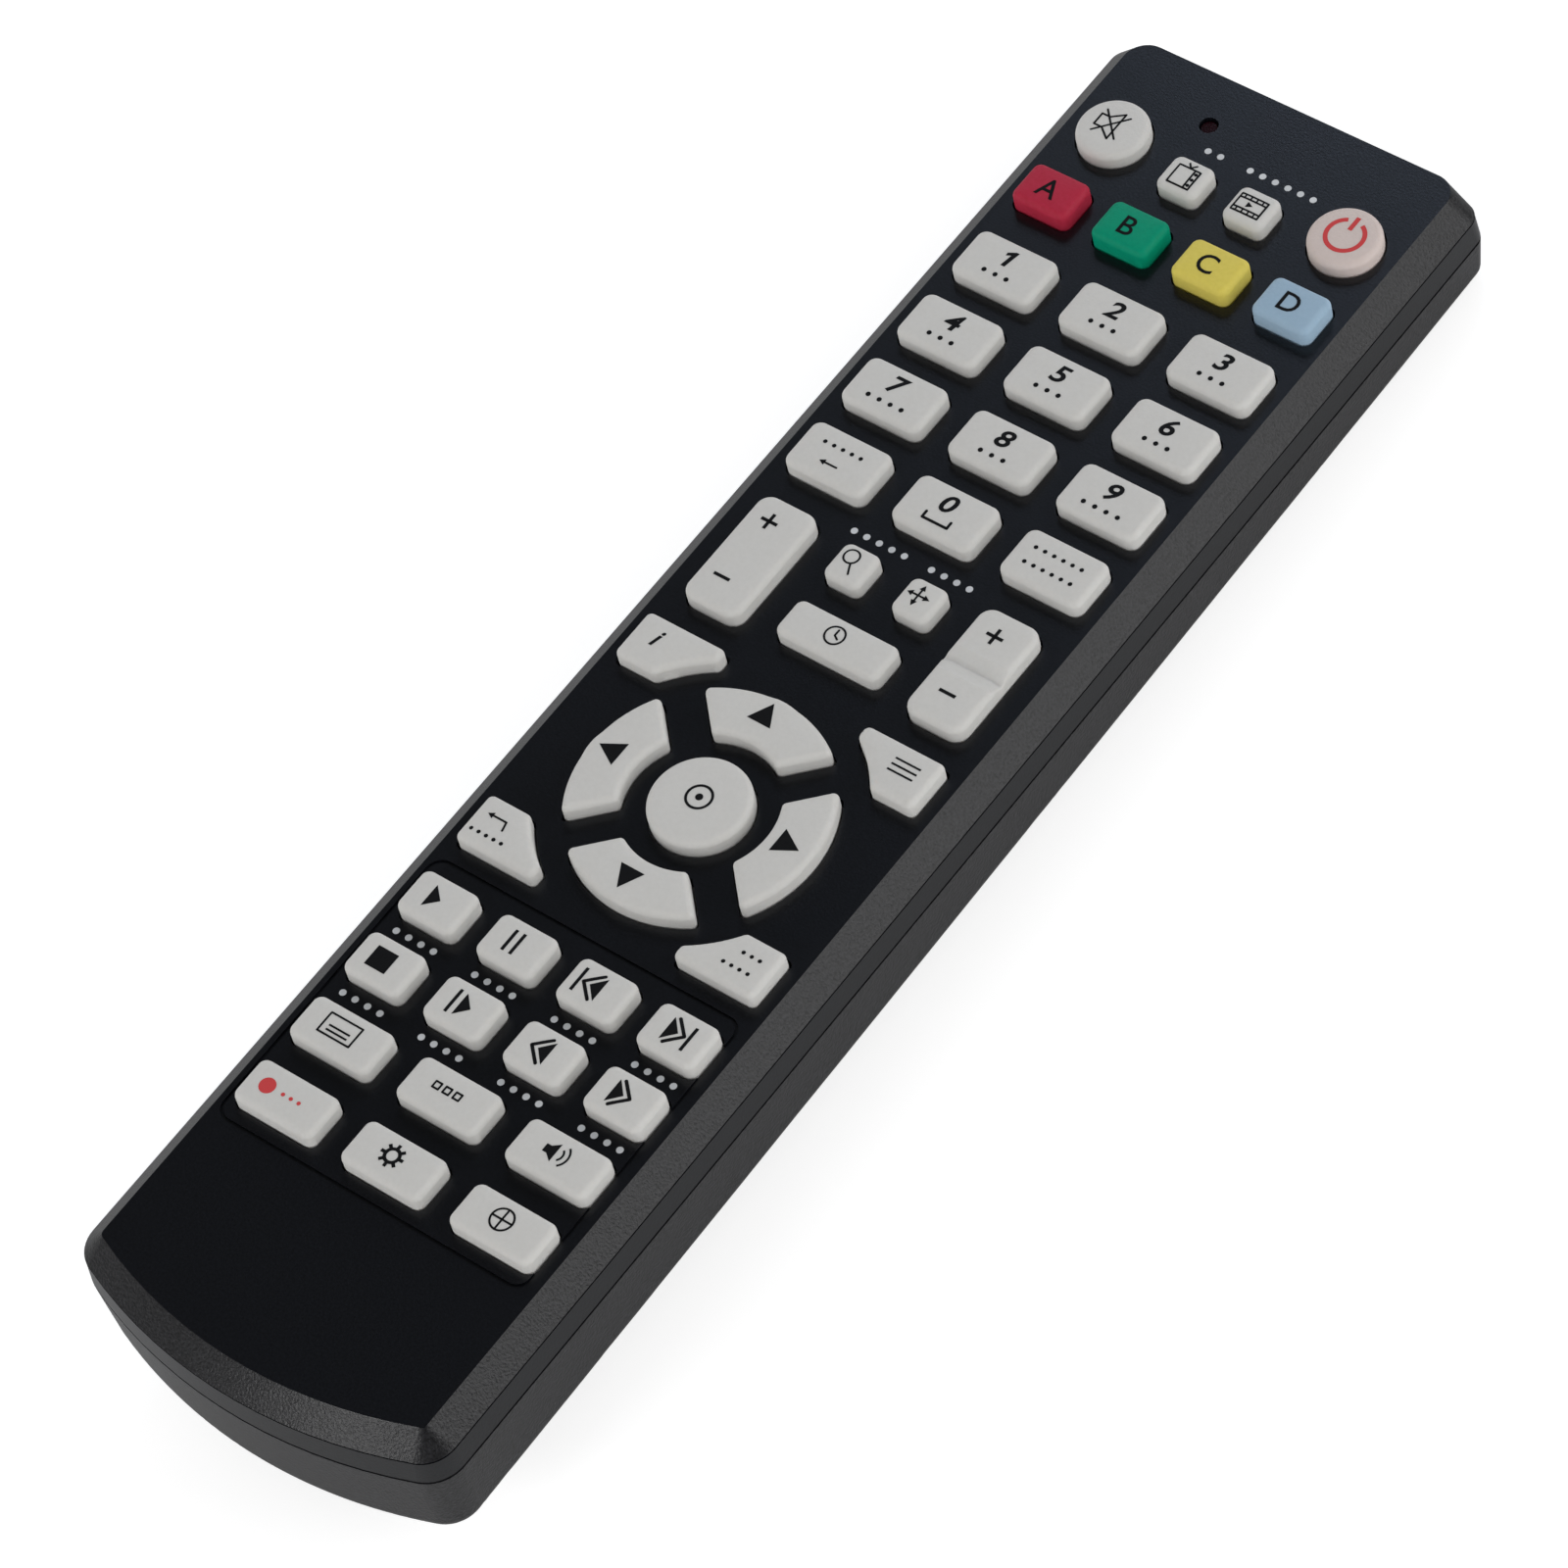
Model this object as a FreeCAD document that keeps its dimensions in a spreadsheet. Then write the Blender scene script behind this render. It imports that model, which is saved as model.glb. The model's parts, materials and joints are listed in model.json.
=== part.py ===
import FreeCAD, Part
import math
import os
import Sketcher
from FreeCAD import Placement, Rotation, Vector

# A hand-held remote control in two shells. The model is built in the housing's own
# frame: x across, y towards the infrared end, z = 0 on the flat top face and lengths in
# millimetres. "Depth" counts down from the top face. The battery belly under the near
# end tips the housing, so at the end every piece gets one common Placement that lays
# the belly flat on z = 0.

SIZES = {
    # Housing, seen from above
    "far_end": 98.45,             # y of the straight infrared end
    "parting_half_width": 25.4,
    "parting_near": 98.45,        # how far the near arc reaches
    "parting_near_radius": 63.7,
    "parting_near_corner": 4.6,
    "parting_far_corner": 2.0,
    "crease_inset": 0.2,          # from the parting outline to the foot of the bevel
    "crease_near_inset": 0.25,
    "crease_near_corner": 4.1,
    "crease_far_corner": 2.4,
    "top_inset": 2.9,             # from the parting outline to the flat top face
    "top_near_inset": 3.0,
    "top_near_corner": 0.8,
    "top_far_corner": 3.0,
    "bevel_depth": 2.8,
    "notch_inset": 0.25,          # thin shadow line under the bevel
    "notch_height": 0.25,
    "parting_depth": 6.36,
    "seam_inset": 0.45,           # groove that runs round the parting line
    "seam_height": 0.35,
    # Housing, seen from the side
    "side_draft": 3.75,           # degrees
    "draft_depth": 22.0,          # depth at which the drafted wall's lower outline lies
    "underside_slope": 1.44,      # degrees
    "underside_mid_depth": 15.28, # depth of the underside half way along
    "underside_rounding": 1.8,
    "rest_slope": 3.45,           # degrees between the top face and the table
    "rest_mid_depth": 18.75,      # depth of the table plane half way along
    # Walls
    "plate_thickness": 1.6,
    "side_wall": 2.0,
    "upper_pocket_inset": 3.0,    # from the parting outline to the pocket of the upper case
    "lip_height": 1.0,
    "lip_thickness": 1.0,
    "shell_gap": 0.15,            # between nested parts of the two shells
    # Belly under the battery bay
    "belly_top_depth": 10.0,
    "belly_low_depth": 27.0,
    "belly_draft": 8.0,           # degrees
    "belly_half_width": 14.6,     # this and the next five at its lower outline
    "belly_near_inset": 3.95,     # from the near end of the parting outline
    "belly_near_radius": 29.0,
    "belly_near_corner": 4.5,
    "belly_far": 48.0,
    "belly_far_corner": 6.0,
    "belly_rounding": 3.5,
    "cover_wall": 1.5,
    "cover_reach": 62.45,         # from the near end to the cover's joint
    "cover_gap": 0.2,
    "tongue_thickness": 1.0,
    "tongue_reach": 0.45,         # how deep the cover's tongues stand in the grooves
    "tongue_level": 8.0,
    "tab_width": 4.0,             # narrow enough to pass between the cells
    "tab_length": 1.4,
    "tab_thickness": 1.2,
    "grip_half_width": 8.0,
    "grip_groove": 1.0,
    "grip_pitch": 2.4,
    # Battery bay, in the frame of the table plane
    "bay_wall": 1.2,
    "bay_floor": 2.1,             # lower edge of its walls above the table
    "cell_diameter": 10.5,
    "cell_length": 44.5,
    "cell_nub_length": 0.8,
    "cell_nub_radius": 1.9,
    "cell_gap": 0.3,
    "cell_level": 2.2,            # underside of the cells above the table
    "contact_thickness": 0.4,
    "contact_height": 8.0,
    "spring_length": 4.2,
    "spring_wide_radius": 3.6,
    "spring_narrow_radius": 2.2,
    "bay_joint_gap": 3.0,         # from the cover's joint to the inner far wall of the bay
    # Layers under the top plate
    "key_gap": 0.25,              # between a key and its opening
    "key_travel": 0.7,
    "flange_gap": 0.15,
    "flange_thickness": 0.6,
    "flange_reach": 0.8,
    "foot_radius": 1.6,
    "contact_gap": 0.1,           # left between a pressed key's foot and the board
    "foot_hole_gap": 0.4,
    "membrane_depth": 3.5,
    "membrane_thickness": 0.5,
    "board_thickness": 1.0,
    "board_side_inset": 4.0,      # these insets run from the parting outline
    "board_near_inset": 19.95,
    "board_far_inset": 7.95,
    "board_tab_half_width": 15.5,
    "board_tab_inset": 3.6,
    "membrane_near_inset": 22.45,
    "membrane_far_inset": 8.45,
    # Keys
    "key_edge": 0.7,              # rounding of a key's upper edge
    "digit_pitch": 15.0,
    "digit_row_pitch": 10.51,
    "digit_row": 62.1,            # y of the row 1 2 3
    "digit_width": 11.1,
    "digit_depth": 6.95,
    "digit_height": 2.26,
    "digit_corner": 1.3,
    "colour_pitch": 11.17,
    "colour_row": 73.55,
    "colour_width": 7.8,
    "colour_depth": 5.8,
    "colour_height": 2.54,
    "small_corner": 1.1,
    "transport_pitch": 11.08,
    "play_row": 39.82,            # rows below the middle count towards the near end
    "stop_row": 49.09,
    "transport_width": 7.85,
    "transport_depth": 5.9,
    "transport_height": 2.43,
    "lower_first_row": 58.59,
    "lower_second_row": 68.03,
    "lower_depth": 5.85,
    "round_offset": 16.17,
    "round_row": 84.79,
    "round_radius": 4.4,
    "round_height": 2.1,
    "source_offset": 4.6,
    "source_row": 82.95,
    "source_width": 5.5,
    "source_depth": 5.1,
    "rocker_offset": 15.45,
    "rocker_row": 14.8,
    "rocker_width": 7.9,
    "rocker_length": 16.1,
    "rocker_corner": 1.8,
    "rocker_drop": 0.75,          # its flange lies this far under the plate, to tilt
    "rocker_foot_offset": 5.2,
    "pivot_radius": 0.45,         # ridge across the middle of its flange, on which it rocks
    "pivot_length": 6.0,
    "waist_radius": 4.0,
    "waist_depth": 0.4,
    "search_offset": 4.7,
    "search_row": 19.45,
    "search_width": 4.95,
    "search_depth": 5.2,
    "recent_row": 10.5,
    "recent_width": 14.1,
    "ring_row": 14.5,             # below the middle
    "enter_radius": 5.98,
    "ring_outer": 15.3,
    "ring_inner": 9.1,
    "ring_half_gap": 2.45,
    "ring_corner": 0.6,
    "menu_offset": 15.2,
    "menu_row_offset": 14.27,
    "menu_width": 10.9,
    "menu_depth": 6.65,
    "menu_cut_radius": 18.6,
    "menu_corner": 0.8,
    # Marks of the upper case
    "groove_left_inset": 3.8,
    "groove_right_inset": 4.5,
    "groove_high": 34.35,
    "groove_low": 72.85,
    "groove_corner": 1.8,
    "groove_width": 0.4,
    "groove_sink": 0.25,
    "lamp_offset": 7.75,
    "lamp_row": 91.65,
    "lamp_hole_radius": 1.15,
    "lamp_radius": 0.95,
    "lamp_base_radius": 1.4,
    "lamp_base_height": 0.6,
    "lamp_sink": 0.5,
    # Infrared end
    "window_half_width": 8.0,
    "window_height": 5.6,
    "window_depth": 7.0,
    "window_flange": 0.9,
    "emitter_radius": 2.5,
    "emitter_rim_radius": 2.9,
    "emitter_rim": 0.8,
    "emitter_inset": 12.45,       # from the infrared end to the back of its rim
    "emitter_length": 6.4,
    "leg_size": 0.5,
    "leg_offset": 1.27,
    "leg_length": 2.5,
    # Screws and posts
    "screw_side_inset": 6.0,
    "screw_near_inset": 16.45,
    "screw_far_inset": 5.05,
    "boss_radius": 2.3,
    "post_radius": 2.9,
    "screw_head_radius": 2.0,
    "screw_head_height": 1.4,
    "screw_radius": 0.9,
    "screw_length": 5.2,
    "screw_shelf": 2.0,           # wall between the parting plane and the head
    "screw_gap": 0.1,
    "stay_side_inset": 5.8,
    "stay_near_row": 20.0,
    "stay_far_row": 50.0,
    "stay_radius": 1.9,
    # Electronics on the underside of the board
    "chip_size": 8.0,
    "chip_height": 1.3,
    "chip_row": 30.0,
    "resonator_width": 7.0,
    "resonator_height": 2.6,
    "capacitor_radius": 2.5,
    "capacitor_height": 7.0,
    "resistor_length": 1.6,
    "resistor_width": 0.8,
    "resistor_height": 0.5,
    "resistor_pitch": 3.0,
}

ROOT_TWO = math.sqrt(2.0)

doc = FreeCAD.newDocument("remote_control")
sheet = doc.addObject("Spreadsheet::Sheet", "sizes")
for row, (alias, number) in enumerate(SIZES.items(), 1):
    sheet.set("A%d" % row, alias)
    sheet.set("B%d" % row, str(number))
    sheet.setAlias("B%d" % row, alias)
doc.recompute()


# Sizes that stay tied to the sheet

class Size:
    """A value together with the sheet expression that gives it."""

    def __init__(self, text, number):
        self.text = text
        self.number = number

    def __float__(self):
        return self.number

    def __add__(self, other):
        return combined(self, "+", other, self.number + float(other))

    def __radd__(self, other):
        return combined(other, "+", self, float(other) + self.number)

    def __sub__(self, other):
        return combined(self, "-", other, self.number - float(other))

    def __rsub__(self, other):
        return combined(other, "-", self, float(other) - self.number)

    def __mul__(self, other):
        return combined(self, "*", other, self.number * float(other))

    def __rmul__(self, other):
        return combined(other, "*", self, float(other) * self.number)

    def __truediv__(self, other):
        return combined(self, "/", other, self.number / float(other))

    def __neg__(self):
        return 0 - self


def text_of(value):
    return value.text if isinstance(value, Size) else "(%r)" % float(value)


def combined(left, sign, right, number):
    return Size("(%s %s %s)" % (text_of(left), sign, text_of(right)), number)


def sine(angle):
    return Size("sin(%s)" % angle.text, math.sin(math.radians(angle.number)))


def cosine(angle):
    return Size("cos(%s)" % angle.text, math.cos(math.radians(angle.number)))


def tangent(angle):
    return Size("tan(%s)" % angle.text, math.tan(math.radians(angle.number)))


class Sheet:
    """Reads the spreadsheet: s.name is the Size kept in the cell with that alias."""

    def __getattr__(self, alias):
        return Size("sizes." + alias, float(sheet.get(alias)))


s = Sheet()
ZERO = Size("0", 0.0)
BEYOND = Size("60", 60.0)       # how far a cutting block reaches past what it cuts


# Building blocks

def bind(obj, **sizes):
    for path, value in sizes.items():
        obj.setExpression(path, text_of(value))


def move(obj, x, y, z):
    obj.setExpression("Placement.Base.x", text_of(x))
    obj.setExpression("Placement.Base.y", text_of(y))
    obj.setExpression("Placement.Base.z", text_of(z))


def box(name, low, high):
    """A box from its low corner to its high corner."""
    obj = doc.addObject("Part::Box", name)
    bind(obj, Length=high[0] - low[0], Width=high[1] - low[1], Height=high[2] - low[2])
    move(obj, *low)
    return obj


def tilted_box(name, low, high, slope, mid_depth):
    """A box in the frame of a plane that slopes along y: its z counts up from the plane."""
    obj = doc.addObject("Part::Box", name)
    bind(obj, Length=high[0] - low[0], Width=high[1] - low[1], Height=high[2] - low[2])
    tilt(obj, low, slope, mid_depth)
    return obj


def tilt(obj, start, slope, mid_depth, turn=0.0):
    """Places obj at start in the plane's frame; turn is a first rotation about x."""
    x, y, z = start
    obj.Placement = Placement(Vector(), Rotation(Vector(1, 0, 0), slope.number + turn))
    obj.setExpression("Placement.Rotation.Angle", text_of(slope + turn))
    move(obj, x, y * cosine(slope) - z * sine(slope),
         y * sine(slope) + z * cosine(slope) - mid_depth)


def rest_box(name, low, high):
    """A box in the frame of the table plane."""
    return tilted_box(name, low, high, s.rest_slope, s.rest_mid_depth)


def rest_rod(name, x, y, z, length, radius):
    """A cylinder that lies along y in the frame of the table plane."""
    obj = doc.addObject("Part::Cylinder", name)
    bind(obj, Radius=radius, Height=length)
    tilt(obj, (x, y, z), s.rest_slope, s.rest_mid_depth, turn=-90.0)
    return obj


def rest_cone(name, x, y, z, length, start_radius, end_radius):
    """A cone that lies along y in the frame of the table plane."""
    obj = doc.addObject("Part::Cone", name)
    bind(obj, Radius1=start_radius, Radius2=end_radius, Height=length)
    tilt(obj, (x, y, z), s.rest_slope, s.rest_mid_depth, turn=-90.0)
    return obj


def cylinder(name, x, y, low, high, radius, seam=0.0):
    obj = doc.addObject("Part::Cylinder", name)
    bind(obj, Radius=radius, Height=high - low)
    obj.Placement = Placement(Vector(), Rotation(Vector(0, 0, 1), seam))
    move(obj, x, y, low)
    return obj


def rod(name, x, y, z, length, radius):
    """A cylinder along y."""
    obj = doc.addObject("Part::Cylinder", name)
    bind(obj, Radius=radius, Height=length)
    obj.Placement = Placement(Vector(), Rotation(Vector(1, 0, 0), -90))
    move(obj, x, y, z)
    return obj


def cut(name, base, tool):
    obj = doc.addObject("Part::Cut", name)
    obj.Base = base
    obj.Tool = tool
    return obj


def common(name, *shapes):
    obj = doc.addObject("Part::MultiCommon", name)
    obj.Shapes = list(shapes)
    return obj


def fuse(name, *shapes):
    obj = doc.addObject("Part::MultiFuse", name)
    obj.Shapes = list(shapes)
    return obj


def group(name, *shapes):
    """Separate solids kept together."""
    obj = doc.addObject("Part::Compound", name)
    obj.Links = list(shapes)
    return obj


def rounded(name, base, picks, radius):
    """base with a fillet on every edge that picks(edge) accepts."""
    doc.recompute([base])
    numbers = [i for i, edge in enumerate(base.Shape.Edges, 1) if picks(edge)]
    obj = doc.addObject("Part::Fillet", name)
    obj.Base = base
    obj.Edges = [(i, float(radius), float(radius)) for i in numbers]
    return obj


def upright(edge):
    """True of a straight edge along z."""
    ends = [vertex.Point for vertex in edge.Vertexes]
    return len(ends) == 2 and (ends[0] - ends[1]).cross(Vector(0, 0, 1)).Length < 1e-6


def at_level(level):
    """Picks the edges that lie flat at one height."""
    def picks(edge):
        box = edge.BoundBox
        return abs(box.ZMin - float(level)) < 1e-4 and abs(box.ZMax - float(level)) < 1e-4
    return picks


def on_slope(slope, mid_depth):
    """Picks the edges that lie in a plane that slopes along y."""
    normal = Vector(0, -math.sin(math.radians(slope.number)), math.cos(math.radians(slope.number)))

    def picks(edge):
        points = edge.discretize(5)
        return all(abs((point + Vector(0, 0, float(mid_depth))).dot(normal)) < 1e-3 for point in points)
    return picks


# Outlines of the housing: straight sides and far end, a convex arc at the near end

def outline(name, level, half_width, near, near_radius, near_corner, far, far_corner):
    """A closed sketch at height level, tied to the sheet by its constraints."""
    w, n, big = float(half_width), float(near), float(near_radius)
    a, f, b = float(near_corner), float(far), float(far_corner)
    up = Vector(0, 0, 1)
    heart = Vector(0, big - n)
    corner_y = heart.y - math.sqrt((big - a) ** 2 - (w - a) ** 2)
    lean = math.atan2(w - a, heart.y - corner_y)

    def arc(x, y, radius, start, end):
        return Part.ArcOfCircle(Part.Circle(Vector(x, y), up, radius), start, end)

    right_angle = math.pi / 2
    bottom = 3 * right_angle
    sketch = doc.addObject("Sketcher::SketchObject", name)
    sketch.addGeometry([
        Part.LineSegment(Vector(w, corner_y), Vector(w, f - b)),
        arc(w - b, f - b, b, 0, right_angle),
        Part.LineSegment(Vector(w - b, f), Vector(b - w, f)),
        arc(b - w, f - b, b, right_angle, 2 * right_angle),
        Part.LineSegment(Vector(-w, f - b), Vector(-w, corner_y)),
        arc(a - w, corner_y, a, 2 * right_angle, bottom - lean),
        arc(0, heart.y, big, bottom - lean, bottom + lean),
        arc(w - a, corner_y, a, bottom + lean, 4 * right_angle),
    ], False)
    right, far_right, end, far_left, left, near_left, front, near_right = range(8)
    order = [right, far_right, end, far_left, left, near_left, front, near_right]
    start_point, end_point, centre, origin, y_axis = 1, 2, 3, -1, -2
    for one, following in zip(order, order[1:] + order[:1]):
        sketch.addConstraint(Sketcher.Constraint("Tangent", one, end_point, following, start_point))
    sketch.addConstraint(Sketcher.Constraint("Vertical", right))
    sketch.addConstraint(Sketcher.Constraint("Vertical", left))
    sketch.addConstraint(Sketcher.Constraint("PointOnObject", front, centre, y_axis))
    named = [
        ("right_side", Sketcher.Constraint("DistanceX", origin, 1, right, start_point, w), half_width),
        ("left_side", Sketcher.Constraint("DistanceX", left, start_point, origin, 1, w), half_width),
        ("far_side", Sketcher.Constraint("DistanceY", origin, 1, end, start_point, f), far),
        ("front_centre", Sketcher.Constraint("DistanceY", front, centre, origin, 1, n - big),
         near - near_radius),
        ("front_radius", Sketcher.Constraint("Radius", front, big), near_radius),
        ("near_right_radius", Sketcher.Constraint("Radius", near_right, a), near_corner),
        ("near_left_radius", Sketcher.Constraint("Radius", near_left, a), near_corner),
        ("far_right_radius", Sketcher.Constraint("Radius", far_right, b), far_corner),
        ("far_left_radius", Sketcher.Constraint("Radius", far_left, b), far_corner),
    ]
    for label, rule, value in named:
        index = sketch.addConstraint(rule)
        sketch.renameConstraint(index, label)
        sketch.setExpression("Constraints." + label, text_of(value))
    sketch.setExpression("Placement.Base.z", text_of(level))
    return sketch


def loft(name, *sketches):
    obj = doc.addObject("Part::Loft", name)
    obj.Sections = list(sketches)
    obj.Solid = True
    obj.Ruled = True
    return obj


def parting_outline(name, level, inset):
    """The parting line's outline, drawn in by inset; the arcs keep their centres."""
    return outline(name, level, s.parting_half_width - inset, s.parting_near - inset,
                   s.parting_near_radius - inset, s.parting_near_corner - inset / 2,
                   s.far_end - inset, s.parting_far_corner)


def crease_outline(name, level, inset, far_inset):
    side = s.crease_inset + inset
    return outline(name, level, s.parting_half_width - side,
                   s.parting_near - s.crease_near_inset - inset, s.parting_near_radius - side,
                   s.crease_near_corner, s.far_end - far_inset, s.crease_far_corner)


# Keys. A plan is a function that makes the prism of a key's outline, grown by a margin.

PARTS = []
OPENINGS = []
FEET = []


def finish(node, obj):
    obj.Label = node
    PARTS.append(obj)
    return obj


def rectangle(x, y, width, depth, corner):
    def plan(name, grow, low, high):
        block = box(name, (x - width / 2 - grow, y - depth / 2 - grow, low),
                    (x + width / 2 + grow, y + depth / 2 + grow, high))
        return rounded(name + "_corners", block, upright, corner + grow)
    return plan


def disc(x, y, radius):
    def plan(name, grow, low, high):
        return cylinder(name, x, y, low, high, radius + grow)
    return plan


def ring_quarter(turn):
    """One quarter of the cursor ring; turn is its direction from +y, in degrees."""
    def plan(name, grow, low, high):
        y = -s.ring_row
        outer = cylinder(name + "_outer", ZERO, y, low, high, s.ring_outer + grow, seam=45)
        inner = cylinder(name + "_inner", ZERO, y, low, high, s.ring_inner - grow, seam=45)
        band = cut(name + "_band", outer, inner)
        wedge = doc.addObject("Part::Box", name + "_wedge")
        bind(wedge, Length=2 * s.ring_outer, Width=2 * s.ring_outer, Height=high - low)
        wedge.Placement = Placement(Vector(), Rotation(Vector(0, 0, 1), 45 + turn))
        apart = ROOT_TWO * (s.ring_half_gap - grow)
        move(wedge, -math.sin(math.radians(turn)) * apart,
             y + math.cos(math.radians(turn)) * apart, low)
        quarter = common(name, band, wedge)
        return rounded(name + "_corners", quarter, upright, s.ring_corner)
    return plan


def menu_block(side, end):
    """A corner key of the cursor field, hollowed where it faces the ring."""
    def plan(name, grow, low, high):
        x = side * s.menu_offset
        y = end * s.menu_row_offset - s.ring_row
        block = box(name + "_block", (x - s.menu_width / 2 - grow, y - s.menu_depth / 2 - grow, low),
                    (x + s.menu_width / 2 + grow, y + s.menu_depth / 2 + grow, high))
        bite = cylinder(name + "_bite", ZERO, -s.ring_row, low, high, s.menu_cut_radius - grow)
        return rounded(name, cut(name + "_cut", block, bite), upright, s.menu_corner)
    return plan


def cap_and_opening(node, plan, height, flange_depth):
    """The cap with its rounded upper edge, the flange under the plate and the opening."""
    cap = plan(node + "_cap", ZERO, -flange_depth, height)
    cap = rounded(node + "_edge", cap, at_level(height), s.key_edge)
    flange = plan(node + "_flange", s.flange_reach, -flange_depth - s.flange_thickness, -flange_depth)
    OPENINGS.append(plan(node + "_opening", s.key_gap, -2 * s.plate_thickness, s.plate_thickness))
    return cap, flange


def board_top():
    """Depth of the board's upper face, on which the rubber sheet lies."""
    return s.membrane_depth + s.membrane_thickness


def foot(node, x, y, flange_depth):
    FEET.append((x, y))
    low = s.key_travel + s.contact_gap - board_top()
    return cylinder(node + "_foot", x, y, low, -flange_depth, s.foot_radius)


def push_key(node, plan, height, x, y):
    """A key that travels straight down."""
    flange_depth = s.plate_thickness + s.flange_gap
    cap, flange = cap_and_opening(node, plan, height, flange_depth)
    return finish(node, fuse(node, cap, flange, foot(node, x, y, flange_depth)))


def rocker_key(node, side, has_waist):
    """A two-way key that rocks about its middle, with a foot under each end."""
    x = side * s.rocker_offset
    flange_depth = s.plate_thickness + s.rocker_drop
    plan = rectangle(x, s.rocker_row, s.rocker_width, s.rocker_length, s.rocker_corner)
    cap, flange = cap_and_opening(node, plan, s.digit_height, flange_depth)
    if has_waist:
        waist = doc.addObject("Part::Cylinder", node + "_waist")
        bind(waist, Radius=s.waist_radius, Height=2 * s.rocker_width)
        waist.Placement = Placement(Vector(), Rotation(Vector(0, 1, 0), 90))
        move(waist, x - s.rocker_width, s.rocker_row, s.digit_height + s.waist_radius - s.waist_depth)
        cap = cut(node + "_cut", cap, waist)
    feet = [foot(node, x, s.rocker_row + end * s.rocker_foot_offset, flange_depth) for end in (1, -1)]
    pivot = doc.addObject("Part::Cylinder", node + "_pivot")
    bind(pivot, Radius=s.pivot_radius, Height=s.pivot_length)
    pivot.Placement = Placement(Vector(), Rotation(Vector(0, 1, 0), 90))
    move(pivot, x - s.pivot_length / 2, s.rocker_row, -flange_depth - s.flange_thickness)
    return finish(node, fuse(node, cap, flange, pivot, *feet))


def block_key(node, x, y, width, depth, height, corner):
    return push_key(node, rectangle(x, y, width, depth, corner), height, x, y)


def make_keys():
    # Sound and power, round, with two source keys between them
    for node, side in (("key_mute", -1), ("key_power", 1)):
        x = side * s.round_offset
        push_key(node, disc(x, s.round_row, s.round_radius), s.round_height, x, s.round_row)
    for node, side in (("key_television", -1), ("key_films", 1)):
        block_key(node, side * s.source_offset, s.source_row, s.source_width, s.source_depth,
                  s.digit_height, s.small_corner)
    # Four coloured keys
    colours = ("key_red_a", "key_green_b", "key_yellow_c", "key_blue_d")
    for index, node in enumerate(colours):
        block_key(node, (index - 1.5) * s.colour_pitch, s.colour_row, s.colour_width,
                  s.colour_depth, s.colour_height, s.small_corner)
    # Digits in four rows of three
    digits = ("1", "2", "3", "4", "5", "6", "7", "8", "9", "clear", "0", "select")
    for index, mark in enumerate(digits):
        row, column = divmod(index, 3)
        block_key("key_" + mark, (column - 1) * s.digit_pitch, s.digit_row - row * s.digit_row_pitch,
                  s.digit_width, s.digit_depth, s.digit_height, s.digit_corner)
    # Volume and channel rockers with three small keys between them
    rocker_key("rocker_volume", -1, False)
    rocker_key("rocker_channel", 1, True)
    for node, side in (("key_search", -1), ("key_zoom", 1)):
        block_key(node, side * s.search_offset, s.search_row, s.search_width, s.search_depth,
                  s.digit_height, s.small_corner)
    block_key("key_recent", ZERO, s.recent_row, s.recent_width, s.search_depth,
              s.digit_height, s.small_corner)
    # Cursor ring, its centre and the four keys at its corners
    push_key("key_enter", disc(ZERO, -s.ring_row, s.enter_radius), s.digit_height,
             ZERO, -s.ring_row)
    middle = (s.ring_outer + s.ring_inner) / 2
    for node, turn in (("key_up", 0), ("key_left", 90), ("key_down", 180), ("key_right", 270)):
        push_key(node, ring_quarter(turn), s.digit_height, -math.sin(math.radians(turn)) * middle,
                 math.cos(math.radians(turn)) * middle - s.ring_row)
    corners = (("key_info", -1, 1), ("key_menu", 1, 1), ("key_return", -1, -1), ("key_top_menu", 1, -1))
    for node, side, end in corners:
        push_key(node, menu_block(side, end), s.digit_height, side * s.menu_offset,
                 end * s.menu_row_offset - s.ring_row)
    # Two rows of four for playing and recording
    rows = ((s.play_row, ("key_play", "key_pause", "key_previous", "key_next")),
            (s.stop_row, ("key_stop", "key_slow", "key_rewind", "key_forward")))
    for row, nodes in rows:
        for index, node in enumerate(nodes):
            block_key(node, (index - 1.5) * s.transport_pitch, -row, s.transport_width,
                      s.transport_depth, s.transport_height, s.small_corner)
    # Two last rows of three
    rows = ((s.lower_first_row, ("key_subtitle", "key_mode", "key_audio")),
            (s.lower_second_row, ("key_record", "key_setup", "key_address")))
    for row, nodes in rows:
        for index, node in enumerate(nodes):
            block_key(node, (index - 1) * s.digit_pitch, -row, s.digit_width, s.lower_depth,
                      s.digit_height, s.small_corner)


# Screw places, shared by the bosses, the posts and the screws

def screw_places():
    offset = s.parting_half_width - s.screw_side_inset
    for side in (-1, 1):
        for y in (s.screw_near_inset - s.parting_near, s.far_end - s.screw_far_inset):
            yield side * offset, y


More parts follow.
